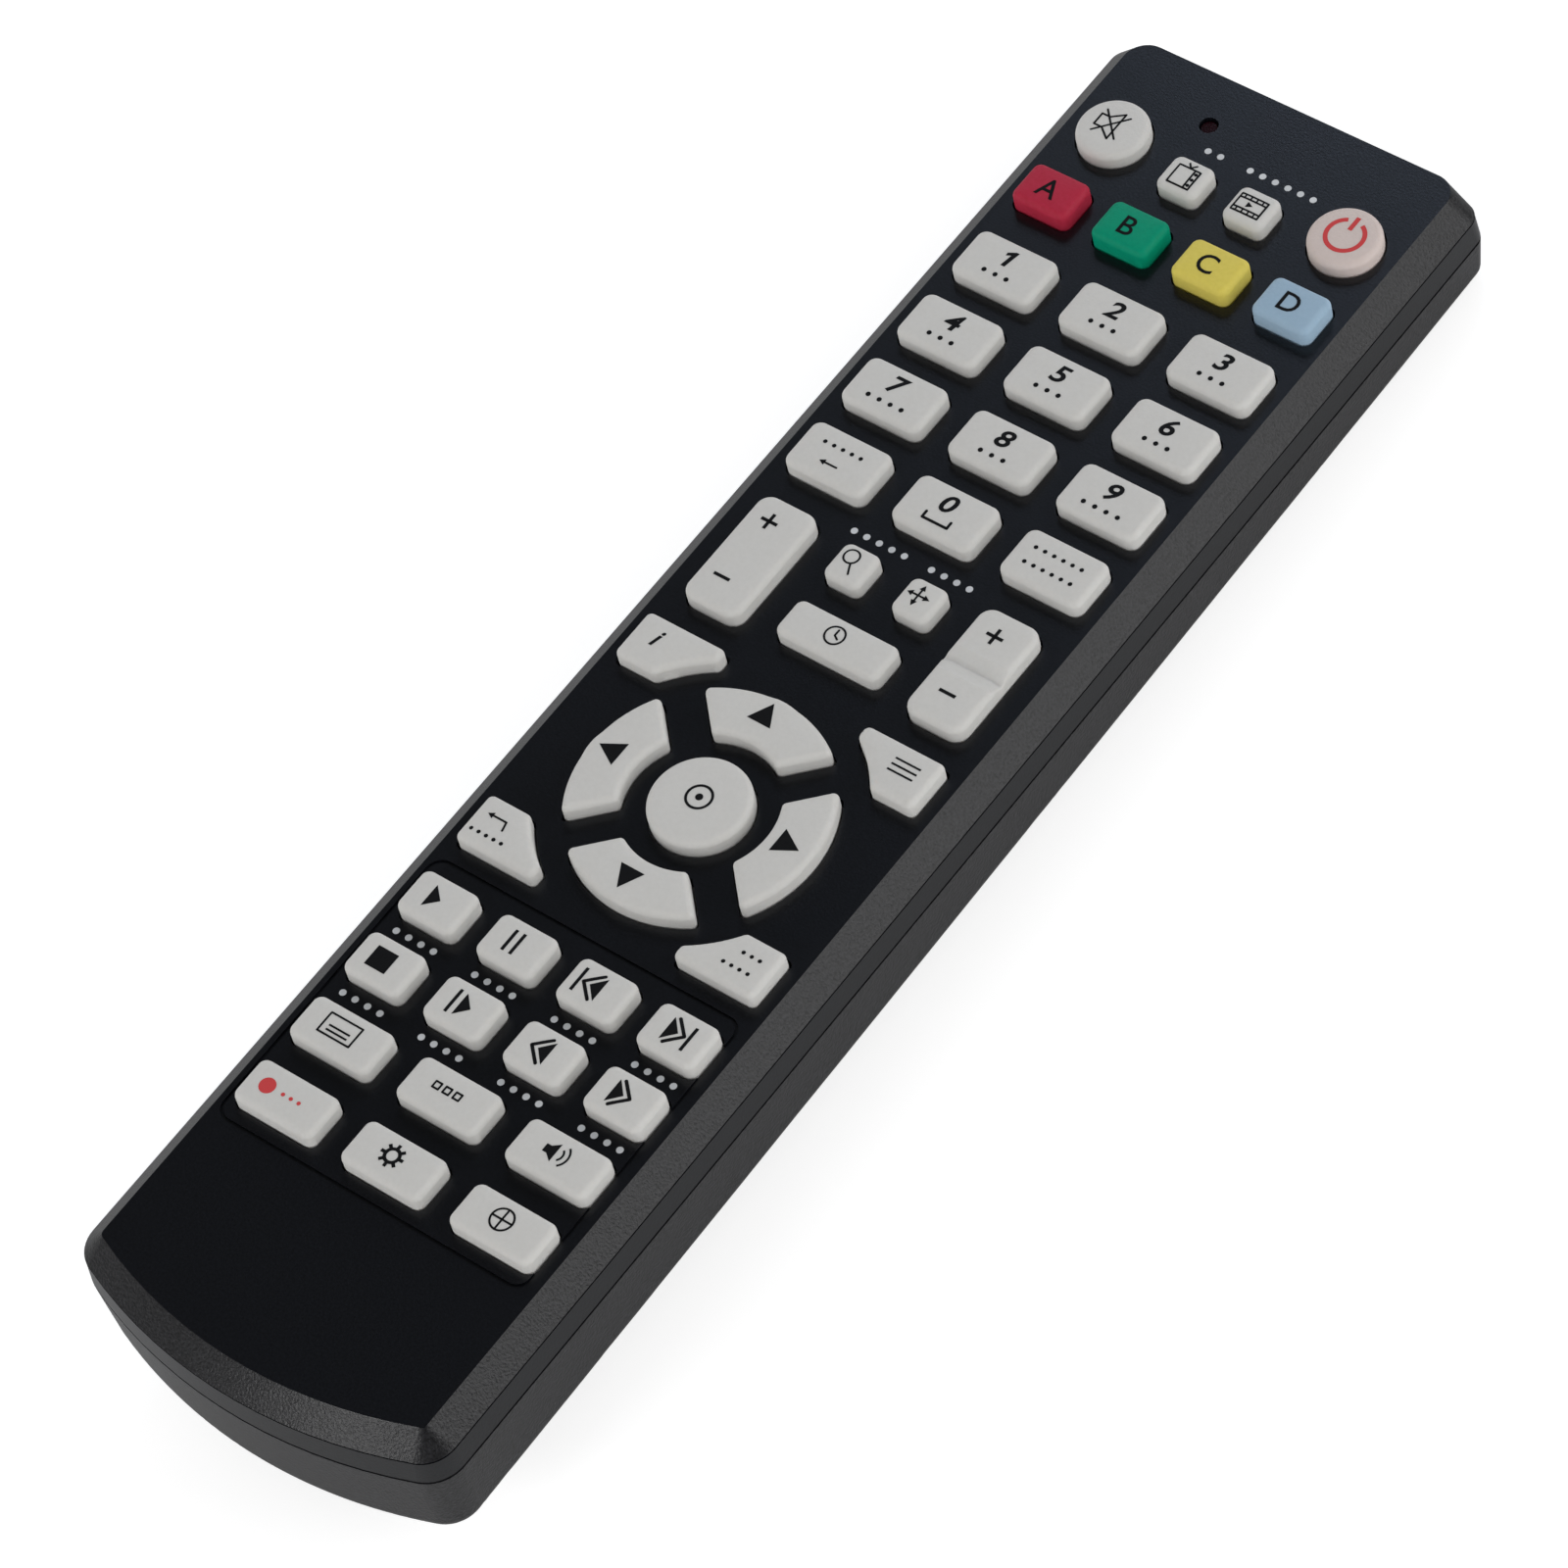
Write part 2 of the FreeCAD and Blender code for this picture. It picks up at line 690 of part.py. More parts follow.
def upper_case():
    level = -s.bevel_depth
    band = loft("upper_band", parting_outline("upper_parting", -s.parting_depth, ZERO),
                crease_outline("upper_crease", level - s.notch_height, ZERO, ZERO))
    notch = loft("upper_notch",
                 crease_outline("notch_low", level - s.notch_height, s.notch_inset, s.notch_inset),
                 crease_outline("notch_high", level, s.notch_inset, s.notch_inset))
    top = outline("top_face", ZERO, s.parting_half_width - s.top_inset,
                  s.parting_near - s.top_near_inset, s.parting_near_radius - s.top_inset,
                  s.top_near_corner, s.far_end, s.top_far_corner)
    bevel = loft("upper_bevel", crease_outline("bevel_foot", level, ZERO, ZERO), top)
    block = fuse("upper_block", band, notch, bevel)
    pocket = loft("upper_pocket",
                  parting_outline("pocket_low", -s.parting_depth, s.upper_pocket_inset),
                  parting_outline("pocket_high", -s.plate_thickness, s.upper_pocket_inset))
    bosses = [cylinder("boss", x, y, -s.parting_depth, -s.plate_thickness / 2, s.boss_radius)
              for x, y in screw_places()]
    pilots = [cylinder("pilot", x, y, -s.parting_depth - s.screw_gap,
                       -s.parting_depth - s.screw_shelf + s.screw_length + 2 * s.screw_gap,
                       s.screw_radius + s.screw_gap / 2) for x, y in screw_places()]
    shell = fuse("upper_shell", cut("upper_hollow", block, pocket), *bosses)
    openings = group("key_openings", *OPENINGS)
    lamp_hole = cylinder("lamp_hole", -s.lamp_offset, s.lamp_row, -2 * s.plate_thickness,
                         s.plate_thickness, s.lamp_hole_radius)
    case = shell
    for name, tool in (("upper_opened", openings), ("upper_lamp", lamp_hole),
                       ("upper_grooved", keypad_groove()), ("upper_drilled", group("pilots", *pilots)),
                       ("upper_case", window_hole("upper"))):
        case = cut(name, case, tool)
    return finish("upper_case", case)


def keypad_groove():
    """The fine line round the lower keys."""
    half = s.groove_width / 2

    def frame(name, margin, low):
        left = s.parting_half_width - s.groove_left_inset + margin
        right = s.parting_half_width - s.groove_right_inset + margin
        block = box(name, (-left, -s.groove_low - margin, low),
                    (right, margin - s.groove_high, s.plate_thickness))
        return rounded(name + "_corners", block, upright, s.groove_corner + margin)

    return cut("groove", frame("groove_outer", half, -s.groove_sink),
               frame("groove_inner", -half, -2 * s.groove_sink))


def window_hole(name):
    """Room for the infrared window in the end wall, and for its flange behind the wall."""
    gap = s.shell_gap / 3
    half = s.window_height / 2 + gap
    width = s.window_half_width + gap
    reach = s.window_flange + gap
    hole = box(name + "_window_hole",
               (-width, s.far_end - 2 * s.upper_pocket_inset, -s.window_depth - half),
               (width, s.far_end + s.side_wall, half - s.window_depth))
    back = s.far_end - s.upper_pocket_inset + gap
    room = box(name + "_flange_room",
               (-width - reach, back - 2 * s.side_wall, -s.window_depth - half - reach),
               (width + reach, back, half + reach - s.window_depth))
    return fuse(name + "_window_room", hole, room)


def infrared_window():
    half = s.window_height / 2
    plug = box("window_plug", (-s.window_half_width, s.far_end - s.upper_pocket_inset - s.shell_gap,
                               -s.window_depth - half),
               (s.window_half_width, s.far_end - s.shell_gap, half - s.window_depth))
    back = s.far_end - s.upper_pocket_inset - s.shell_gap
    flange = box("window_flange", (-s.window_half_width - s.window_flange, back - s.shell_gap,
                                   -s.window_depth - half - s.window_flange),
                 (s.window_half_width + s.window_flange, back + s.shell_gap,
                  half + s.window_flange - s.window_depth))
    return finish("infrared_window", fuse("infrared_window", plug, flange))


def belly_near():
    return s.parting_near - s.belly_near_inset


def cover_joint():
    """How far short of the middle the cover ends."""
    return s.parting_near - s.cover_reach


def belly_outline(name, depth, inset):
    """The belly's outline at a depth, drawn in by inset."""
    grow = tangent(s.belly_draft) * (s.belly_low_depth - depth) - inset
    return outline(name, -depth, s.belly_half_width + grow, belly_near() + grow,
                   s.belly_near_radius + grow, s.belly_near_corner + grow, s.belly_far + grow,
                   s.belly_far_corner + grow)


def belly(name, inset, floor):
    """The drafted block under the battery bay, drawn in by inset and cut above the table."""
    block = loft(name + "_loft", belly_outline(name + "_low", s.belly_low_depth, inset),
                 belly_outline(name + "_top", s.belly_top_depth, inset))
    below = rest_box(name + "_below", (-BEYOND, -2 * s.far_end, floor - BEYOND),
                     (BEYOND, 2 * s.far_end, floor))
    height = s.rest_mid_depth - floor / cosine(s.rest_slope)
    return rounded(name, cut(name + "_block", block, below), on_slope(s.rest_slope, height),
                   s.belly_rounding - inset)


def drafted_block(name, inset, raised):
    """The lower case's drafted walls down to the underside, drawn in and raised."""
    start = s.parting_depth + s.seam_height
    draw = inset + tangent(s.side_draft) * (s.draft_depth - start)
    block = loft(name + "_loft", parting_outline(name + "_high", -start, inset),
                 parting_outline(name + "_low", -s.draft_depth, draw))
    below = tilted_box(name + "_below", (-BEYOND, -2 * s.far_end, raised - BEYOND),
                       (BEYOND, 2 * s.far_end, raised), s.underside_slope,
                       s.underside_mid_depth)
    return cut(name, block, below)


def cover_zone(name, gap):
    """Everything under the underside on the near side of the cover's joint."""
    return tilted_box(name, (-BEYOND, -2 * s.far_end, -BEYOND),
                      (BEYOND, -cover_joint() - gap, -gap), s.underside_slope,
                      s.underside_mid_depth)


def bay_size():
    """Half width, near end, roof height and length of the battery bay's inside."""
    half_width = s.cell_diameter + 3 * s.cell_gap / 2
    length = s.cell_length + s.spring_length + 2 * s.contact_thickness + s.cell_gap / 3
    return (half_width, -cover_joint() - s.bay_joint_gap - length,
            s.cell_level + s.cell_diameter + s.cell_gap, length)


def tongue_box(name, side, spare, reach):
    """A tongue of the cover, or with spare the groove that it runs in."""
    half_width = bay_size()[0] + s.bay_wall
    inner = half_width - reach
    outer = half_width + 3 * s.bay_wall
    low, high = (inner, outer) if side > 0 else (-outer, -inner)
    return rest_box(name, (low, 2 * s.belly_near_corner - belly_near(), s.tongue_level - spare),
                    (high, -cover_joint() - s.cover_gap,
                     s.tongue_level + s.tongue_thickness + spare))


def tab_box(name, spare, back):
    """The tab at the cover's far edge, or with spare the slot that it slides out through."""
    return rest_box(name, (-s.tab_width / 2 - spare, -cover_joint() - back,
                           s.cover_wall - spare),
                    (s.tab_width / 2 + spare, -cover_joint() + s.tab_length + spare,
                     s.cover_wall + s.tab_thickness + spare))


def ring_wall(name, low, high, outer_inset, inner_inset):
    """A wall that follows the parting outline, between two insets."""
    outside = loft(name + "_outside", parting_outline(name + "_outer_low", low, outer_inset),
                   parting_outline(name + "_outer_high", high, outer_inset))
    inside = loft(name + "_inside", parting_outline(name + "_inner_low", low - s.side_wall, inner_inset),
                  parting_outline(name + "_inner_high", high + s.side_wall, inner_inset))
    return cut(name, outside, inside)


def lower_case():
    outer = rounded("lower_outer", drafted_block("lower_block", ZERO, ZERO),
                    on_slope(s.underside_slope, s.underside_mid_depth), s.underside_rounding)
    ledge = loft("seam_ledge", parting_outline("seam_low", -s.parting_depth - s.seam_height, s.seam_inset),
                 parting_outline("seam_high", -s.parting_depth, s.seam_inset))
    body = cut("lower_body", fuse("lower_solid", outer, ledge, belly("belly", ZERO,
                                                                      ZERO)),
               cover_zone("cover_room", ZERO))
    hollow = drafted_block("lower_hollow", s.side_wall, s.side_wall)
    mouth = loft("lower_mouth",
                 parting_outline("mouth_low", -s.parting_depth - s.seam_height, s.side_wall),
                 parting_outline("mouth_high", -s.parting_depth + s.lip_height, s.side_wall))
    inside = belly("belly_inside", s.cover_wall, s.cover_wall)
    far_side = box("belly_far_side", (-BEYOND, -cover_joint() + s.side_wall,
                                      -s.belly_low_depth),
                   (BEYOND, s.far_end, -s.belly_top_depth))
    shell = body
    for name, tool in (("lower_hollowed", hollow), ("lower_opened", mouth),
                       ("lower_belly", common("belly_hollow", inside, far_side))):
        shell = cut(name, shell, tool)
    lip_inset = s.upper_pocket_inset + s.shell_gap
    lip = ring_wall("lip", -s.parting_depth - s.side_wall, -s.parting_depth,
                    lip_inset - s.lip_thickness, lip_inset + s.lip_thickness)
    rim = ring_wall("rim", -s.parting_depth - s.side_wall, s.lip_height - s.parting_depth,
                    lip_inset, lip_inset + s.lip_thickness)
    boss_rooms = [cylinder("boss_room", x, y, -s.parting_depth, s.parting_depth,
                           s.boss_radius + s.shell_gap) for x, y in screw_places()]
    rim = cut("notched_rim", rim, group("boss_rooms", *boss_rooms))
    posts = [cylinder("post", x, y, -s.draft_depth, -s.parting_depth, s.post_radius)
             for x, y in screw_places()]
    stay_top = -board_top() - s.board_thickness
    offset = s.parting_half_width - s.stay_side_inset
    stays = [cylinder("stay", side * offset, y, -s.draft_depth, stay_top, s.stay_radius)
             for side in (-1, 1) for y in (-s.stay_near_row, s.stay_far_row)]
    envelope = box("stay_envelope", (-BEYOND, -s.far_end, -s.parting_depth),
                   (BEYOND, s.far_end, s.parting_depth))
    pillars = common("pillars", fuse("all_pillars", *posts, *stays), fuse("pillar_room", outer, ledge,
                                                                        envelope))
    half_width, near, roof, length = bay_size()
    wall = s.bay_wall
    bay = rest_box("bay_block", (-half_width - wall, near - wall, s.bay_floor),
                   (half_width + wall, near + length + wall, roof + wall))
    case = fuse("lower_assembled", shell, lip, rim, pillars, bay)
    cavity = rest_box("bay_cavity", (-half_width, near, ZERO), (half_width, near + length, roof))
    grooves = [tongue_box("tongue_groove", side, s.cover_gap, s.tongue_reach + s.cover_gap)
               for side in (-1, 1)]
    head_top = -s.parting_depth - s.screw_shelf
    wells = [cylinder("well", x, y, -s.draft_depth, head_top, s.screw_head_radius + 3 * s.screw_gap)
             for x, y in screw_places()]
    holes = [cylinder("hole", x, y, head_top - s.screw_gap, -s.parting_depth + s.screw_gap,
                      s.screw_radius + 2 * s.screw_gap) for x, y in screw_places()]
    tools = [group("bay_room", cavity), group("bay_grooves", *grooves),
             group("screw_wells", *wells), group("screw_holes", *holes),
             tab_box("tab_slot", s.cover_gap, s.bay_joint_gap + s.cover_gap), window_hole("lower")]
    for index, tool in enumerate(tools):
        case = cut("lower_step_%d" % index, case, tool)
    return finish("lower_case", case)


def battery_cover():
    """The near part of the belly, open towards the fixed part, held by two tongues."""
    skin = common("cover_skin", belly("cover_belly", ZERO, ZERO),
                  cover_zone("cover_block", s.cover_gap))
    shell = cut("cover_shell", skin, belly("cover_inside", s.cover_wall, s.cover_wall))
    tongues = common("cover_tongues", fuse("tongue_pair", *[
        tongue_box("tongue", side, ZERO, s.tongue_reach) for side in (-1, 1)]), skin)
    cover = fuse("cover_whole", shell, tongues, tab_box("cover_tab", ZERO, s.tab_length))
    grooves = [rest_box("grip", (-s.grip_half_width, 2 * s.belly_rounding - belly_near()
                                 + index * s.grip_pitch, -s.grip_groove),
                        (s.grip_half_width, 2 * s.belly_rounding - belly_near()
                         + index * s.grip_pitch + s.grip_groove, s.grip_groove / 2))
               for index in range(5)]
    return finish("battery_cover", cut("battery_cover", cover, group("grips", *grooves)))


def battery_pieces():
    """Two cells side by side, turned opposite ways, with a spring at each flat end."""
    half_width, near, roof, length = bay_size()
    far = near + length
    radius = s.cell_diameter / 2
    level = s.cell_level + radius
    offset = radius + s.cell_gap / 2
    body_length = s.cell_length - s.cell_nub_length
    plate = s.contact_thickness
    cells, contacts = [], []
    for side in (-1, 1):
        x = side * offset
        if side > 0:
            start = far - plate - s.cell_length
            nub = start + body_length
            spring = near + plate
            wide, narrow = s.spring_wide_radius, s.spring_narrow_radius
        else:
            nub = near + plate
            start = nub + s.cell_nub_length
            spring = far - plate - s.spring_length
            wide, narrow = s.spring_narrow_radius, s.spring_wide_radius
        cells.append(fuse("cell", rest_rod("cell_body", x, start, level, body_length, radius),
                          rest_rod("cell_nub", x, nub, level, s.cell_nub_length, s.cell_nub_radius)))
        contacts.append(rest_cone("spring", x, spring, level, s.spring_length, wide, narrow))
        low = level - s.contact_height / 2
        contacts.append(rest_box("far_plate", (x - s.contact_height / 2, far - plate, low),
                                 (x + s.contact_height / 2, far, low + s.contact_height)))
    half = s.contact_height / 2
    contacts.append(rest_box("bridge_plate", (-offset - half, near, level - half),
                             (offset + half, near + plate, level + half)))
    finish("battery_cells", group("battery_cells", *cells))
    finish("battery_contacts", group("battery_contacts", *contacts))


def keypad_membrane():
    low = -board_top()
    side = s.parting_half_width - s.board_side_inset
    sheet_block = box("membrane_sheet", (-side, s.membrane_near_inset - s.parting_near, low),
                      (side, s.far_end - s.membrane_far_inset, -s.membrane_depth))
    holes = [cylinder("membrane_hole", x, y, low - s.membrane_thickness,
                      -s.membrane_depth + s.membrane_thickness, s.foot_radius + s.foot_hole_gap)
             for x, y in FEET]
    return finish("keypad_membrane", cut("keypad_membrane", sheet_block, group("membrane_holes", *holes)))


def circuit_board():
    top = -board_top()
    low = top - s.board_thickness
    side = s.parting_half_width - s.board_side_inset
    far = s.far_end - s.board_far_inset
    tab_far = s.far_end - s.board_tab_inset
    main = box("board_main", (-side, s.board_near_inset - s.parting_near, low), (side, far, top))
    tab = box("board_tab", (-s.board_tab_half_width, far - s.board_thickness, low),
              (s.board_tab_half_width, tab_far, top))
    spare = s.emitter_rim_radius + s.shell_gap
    start = s.far_end - s.emitter_inset
    slot = box("emitter_slot", (-spare, start - s.shell_gap, low - s.board_thickness),
               (spare, tab_far + s.board_thickness, top + s.board_thickness))
    return finish("circuit_board", cut("circuit_board", fuse("board_blank", main, tab), slot))


def board_components():
    top = -board_top() - s.board_thickness
    half = s.chip_size / 2
    pieces = [box("chip", (-half, s.chip_row - half, top - s.chip_height), (half, s.chip_row + half, top))]
    pieces.append(box("resonator",
                      (-s.resonator_width / 2, s.chip_row + s.chip_size, top - s.resonator_height),
                      (s.resonator_width / 2, s.chip_row + s.chip_size + s.resonator_width / 2, top)))
    pieces.append(cylinder("capacitor", s.chip_size, s.chip_row - 2 * s.chip_size,
                           top - s.capacitor_height, top, s.capacitor_radius))
    for index in range(6):
        y = s.chip_row - s.chip_size + index * s.resistor_pitch
        pieces.append(box("resistor", (-s.chip_size - s.resistor_length, y, top - s.resistor_height),
                          (-s.chip_size, y + s.resistor_width, top)))
    return finish("board_components", group("board_components", *pieces))


def infrared_emitter():
    z = -s.window_depth
    start = s.far_end - s.emitter_inset
    rim = rod("emitter_rim", ZERO, start, z, s.emitter_rim, s.emitter_rim_radius)
    barrel = rod("emitter_barrel", ZERO, start, z, s.emitter_length, s.emitter_radius)
    dome = doc.addObject("Part::Sphere", "emitter_dome")
    bind(dome, Radius=s.emitter_radius)
    move(dome, ZERO, start + s.emitter_length, z)
    half = s.leg_size / 2
    board_low = -board_top() - s.board_thickness
    legs = []
    for side in (-1, 1):
        x = side * s.leg_offset
        legs.append(box("leg", (x - half, start - s.leg_length, z - half),
                        (x + half, start + half, z + half)))
        legs.append(box("leg_end", (x - half, start - s.leg_length, z - half),
                        (x + half, start - s.leg_length + s.leg_size, board_low)))
    return finish("infrared_emitter", fuse("infrared_emitter", rim, barrel, dome, *legs))


def indicator_lamp():
    base = -board_top()
    rim = cylinder("lamp_base", -s.lamp_offset, s.lamp_row, base, base + s.lamp_base_height,
                   s.lamp_base_radius)
    stem = cylinder("lamp_stem", -s.lamp_offset, s.lamp_row, base, -s.lamp_sink, s.lamp_radius)
    return finish("indicator_lamp", fuse("indicator_lamp", rim, stem))


def case_screws():
    head_top = -s.parting_depth - s.screw_shelf
    screws = []
    for x, y in screw_places():
        head = cylinder("screw_head", x, y, head_top - s.screw_head_height, head_top, s.screw_head_radius)
        shank = cylinder("screw_shank", x, y, head_top - s.screw_head_height / 2,
                         head_top + s.screw_length, s.screw_radius)
        screws.append(fuse("screw", head, shank))
    return finish("case_screws", group("case_screws", *screws))


def lay_flat():
    """Turns and lifts every piece so that the belly stands on z = 0 about the origin."""
    flat = Rotation(Vector(1, 0, 0), -s.rest_slope.number)
    height = flat.multVec(Vector(0, 0, s.rest_mid_depth.number)).z
    ends = [flat.multVec(point).y for part in PARTS if part.Label in ("upper_case", "lower_case")
            for point in part.Shape.tessellate(0.05)[0]]
    centred = Vector(0, -(min(ends) + max(ends)) / 2, height)
    for part in PARTS:
        part.Placement = Placement(centred, flat)
    print("shift along y", round(centred.y, 4))


make_keys()
upper_case()
lower_case()
battery_cover()
battery_pieces()
keypad_membrane()
circuit_board()
board_components()
infrared_emitter()
infrared_window()
indicator_lamp()
case_screws()
doc.recompute()

failed = [obj.Name for obj in doc.Objects if "Invalid" in obj.State or "Error" in obj.State]
failed += [part.Label for part in PARTS
           if part.Shape.isNull() or not part.Shape.isValid() or not part.Shape.Solids]
if failed:
    raise RuntimeError("these have no valid shape: " + ", ".join(failed))
lay_flat()

os.makedirs("parts", exist_ok=True)
for part in PARTS:
    part.Shape.exportStep("parts/%s.step" % part.Label)
    print(part.Label, len(part.Shape.Solids), round(part.Shape.Volume, 2))
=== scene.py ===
import json
import math

import bmesh
import bpy
from mathutils import Matrix, Vector
from mathutils.bvhtree import BVHTree


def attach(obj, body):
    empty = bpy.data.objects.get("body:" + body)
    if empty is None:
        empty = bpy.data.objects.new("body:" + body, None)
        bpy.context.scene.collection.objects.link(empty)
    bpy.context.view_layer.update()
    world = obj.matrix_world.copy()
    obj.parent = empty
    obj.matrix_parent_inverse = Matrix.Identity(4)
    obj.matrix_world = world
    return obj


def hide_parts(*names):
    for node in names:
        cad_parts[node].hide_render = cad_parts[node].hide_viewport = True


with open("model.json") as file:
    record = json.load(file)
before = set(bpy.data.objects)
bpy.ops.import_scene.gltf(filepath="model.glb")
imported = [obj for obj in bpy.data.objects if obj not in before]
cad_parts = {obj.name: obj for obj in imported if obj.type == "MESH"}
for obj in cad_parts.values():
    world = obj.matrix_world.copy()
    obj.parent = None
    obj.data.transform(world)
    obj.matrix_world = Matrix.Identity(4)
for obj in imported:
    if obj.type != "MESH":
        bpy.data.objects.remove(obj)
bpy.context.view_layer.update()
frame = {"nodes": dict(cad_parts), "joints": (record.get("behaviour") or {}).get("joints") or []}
nodes = frame["nodes"]

# Lengths below are in millimetres and in the housing's own frame: x across, y towards the
# infrared end from the middle, z up from the flat top face. The keys travel along that z,
# so a key's joint gives the tilt at which the housing lies on the table.
MM = 0.001
press = next(joint for joint in frame["joints"] if joint["name"] == "key_enter_press")
UP = -Vector(press["axis"]).normalized()
ALONG = Vector((0, UP.z, -UP.y))
case_points = [vertex.co for vertex in nodes["upper_case"].data.vertices]
reach = [point.dot(ALONG) for point in case_points]
ORIGIN = UP * max(point.dot(UP) for point in case_points) + ALONG * (min(reach) + max(reach)) / 2
TILT = math.atan2(UP.y, UP.z)
HOUSING = Matrix.Translation(ORIGIN) @ Matrix.Rotation(-TILT, 4, "X")
BACK = HOUSING.inverted()

KEY_CROWN = 0.3          # how far a key's soft top falls from its middle to its wall
CROWN_REACH = 2.0        # from the key's wall to where the top is level
KEY_EDGE = 0.7           # rounding of the upper edge, as in the solids
WAIST = 14.8             # y of the groove across the channel rocker
WAIST_DEPTH = 0.27       # of the narrow groove, at the bottom of the solid's wide one
WAIST_HALF = 0.4         # from its middle to where it has mostly run out
KEY_DICE = 0.6           # side of the squares that a key's soft top is cut into
KEY_PITCH = 15.0         # across, from one digit key to the next
KEY_ROW = 10.51          # along, from one row of digit keys to the next
FIRST_ROW = 62.1         # y of the row with 1, 2 and 3
PLAY_PITCH = 11.08       # across, from one of the keys for playing to the next
FACE_HALF = 22.45        # the flat face reaches this far to each side,
FACE_FAR = 98.42         # this far towards the infrared end,
FACE_NEAR = 95.45        # and this far the other way, where its edge is an arc
NEAR_RADIUS = 60.8       # of that arc
BEVEL_DEPTH = 2.8        # from the face down to the bevel's foot
HAIR = 0.03              # keeps a limit just clear of the edge that it follows
GRAIN = 0.3              # size of the pits that spark erosion leaves, and of the silicone's skin
PRINT = 0.02             # thickness of a printed mark
PRINT_DICE = 0.5         # side of the squares that a mark is cut into, to lie on a soft top
STROKE = 0.24            # width of the thin printed lines
BOLD = 0.4               # and of the bold ones
WELD = 0.002             # points of a solid's mesh that are nearer than this are one


# Materials

def colour(code):
    """A hex sRGB colour as linear RGBA."""
    parts = [int(code[i:i + 2], 16) / 255 for i in (0, 2, 4)]
    return tuple(p / 12.92 if p <= 0.04045 else ((p + 0.055) / 1.055) ** 2.4 for p in parts) + (1.0,)


def add(tree, kind, inputs=None, **settings):
    """Adds a node. An input is a value, or a socket to link from; a setting is a property."""
    made = tree.nodes.new("ShaderNode" + kind)
    for name, value in settings.items():
        setattr(made, name, value)
    for name, value in (inputs or {}).items():
        if isinstance(value, bpy.types.NodeSocket):
            tree.links.new(value, made.inputs[name])
        else:
            made.inputs[name].default_value = value
    return made


def blank(name):
    """A material with its shader and output, and housing coordinates in metres."""
    made = bpy.data.materials.new(name)
    made.use_nodes = True
    tree = made.node_tree
    tree.nodes.clear()
    shader = add(tree, "BsdfPrincipled")
    add(tree, "OutputMaterial", {"Surface": shader.outputs[0]})
    place = add(tree, "TexCoord").outputs["Object"]
    shift = -(BACK.to_3x3() @ ORIGIN)
    housing = add(tree, "Mapping", {"Vector": place, "Rotation": (TILT, 0, 0), "Location": shift})
    return made, tree, shader, housing.outputs[0]


def mottled(tree, place, size, dark, light):
    """Two close colours, mixed by noise of that size in millimetres."""
    noise = add(tree, "TexNoise", {"Vector": place, "Scale": 1 / (size * MM), "Detail": 2.0})
    spread = add(tree, "MapRange", {"Value": noise.outputs["Fac"], "From Min": 0.3, "From Max": 0.7})
    mix = add(tree, "Mix", {"Factor": spread.outputs[0], "A": dark, "B": light}, data_type="RGBA")
    return mix.outputs["Result"]


def bump(tree, height, depth):
    """A surface relief of that depth in millimetres."""
    return add(tree, "Bump", {"Height": height, "Distance": depth * MM, "Strength": 1.0}).outputs[0]


def silicone(name, body, shade, gloss=0.3):
    """Moulded silicone rubber: soft, a little translucent, with a fine matte skin."""
    made, tree, shader, place = blank(name)
    tone = mottled(tree, place, 0.5, colour(shade), colour(body))
    skin = add(tree, "TexNoise", {"Vector": place, "Scale": 1 / (GRAIN * MM), "Detail": 3.0})
    rough = add(tree, "MapRange", {"Value": skin.outputs["Fac"], "To Min": 0.46, "To Max": 0.58})
    tree.links.new(tone, shader.inputs["Base Color"])
    tree.links.new(rough.outputs[0], shader.inputs["Roughness"])
    tree.links.new(bump(tree, skin.outputs["Fac"], 0.02), shader.inputs["Normal"])
    shader.inputs["IOR"].default_value = 1.41
    shader.inputs["Specular IOR Level"].default_value = gloss
    shader.inputs["Subsurface Weight"].default_value = 0.25
    shader.inputs["Subsurface Radius"].default_value = (1.0, 0.9, 0.8)
    shader.inputs["Subsurface Scale"].default_value = 0.8 * MM
    return made


def plastic(name, dark, light, grain, depth, rough, gloss=0.5):
    """Moulded ABS. The mould was spark eroded, which leaves round pits of about the grain's size."""
    made, tree, shader, place = blank(name)
    pits = add(tree, "TexNoise", {"Vector": place, "Scale": 1 / (grain * MM), "Detail": 2.0})
    tone = mottled(tree, place, grain * 1.5, colour(dark), colour(light))
    tree.links.new(tone, shader.inputs["Base Color"])
    tree.links.new(bump(tree, pits.outputs["Fac"], depth), shader.inputs["Normal"])
    shader.inputs["Roughness"].default_value = rough
    shader.inputs["IOR"].default_value = 1.53
    shader.inputs["Specular IOR Level"].default_value = gloss
    return made


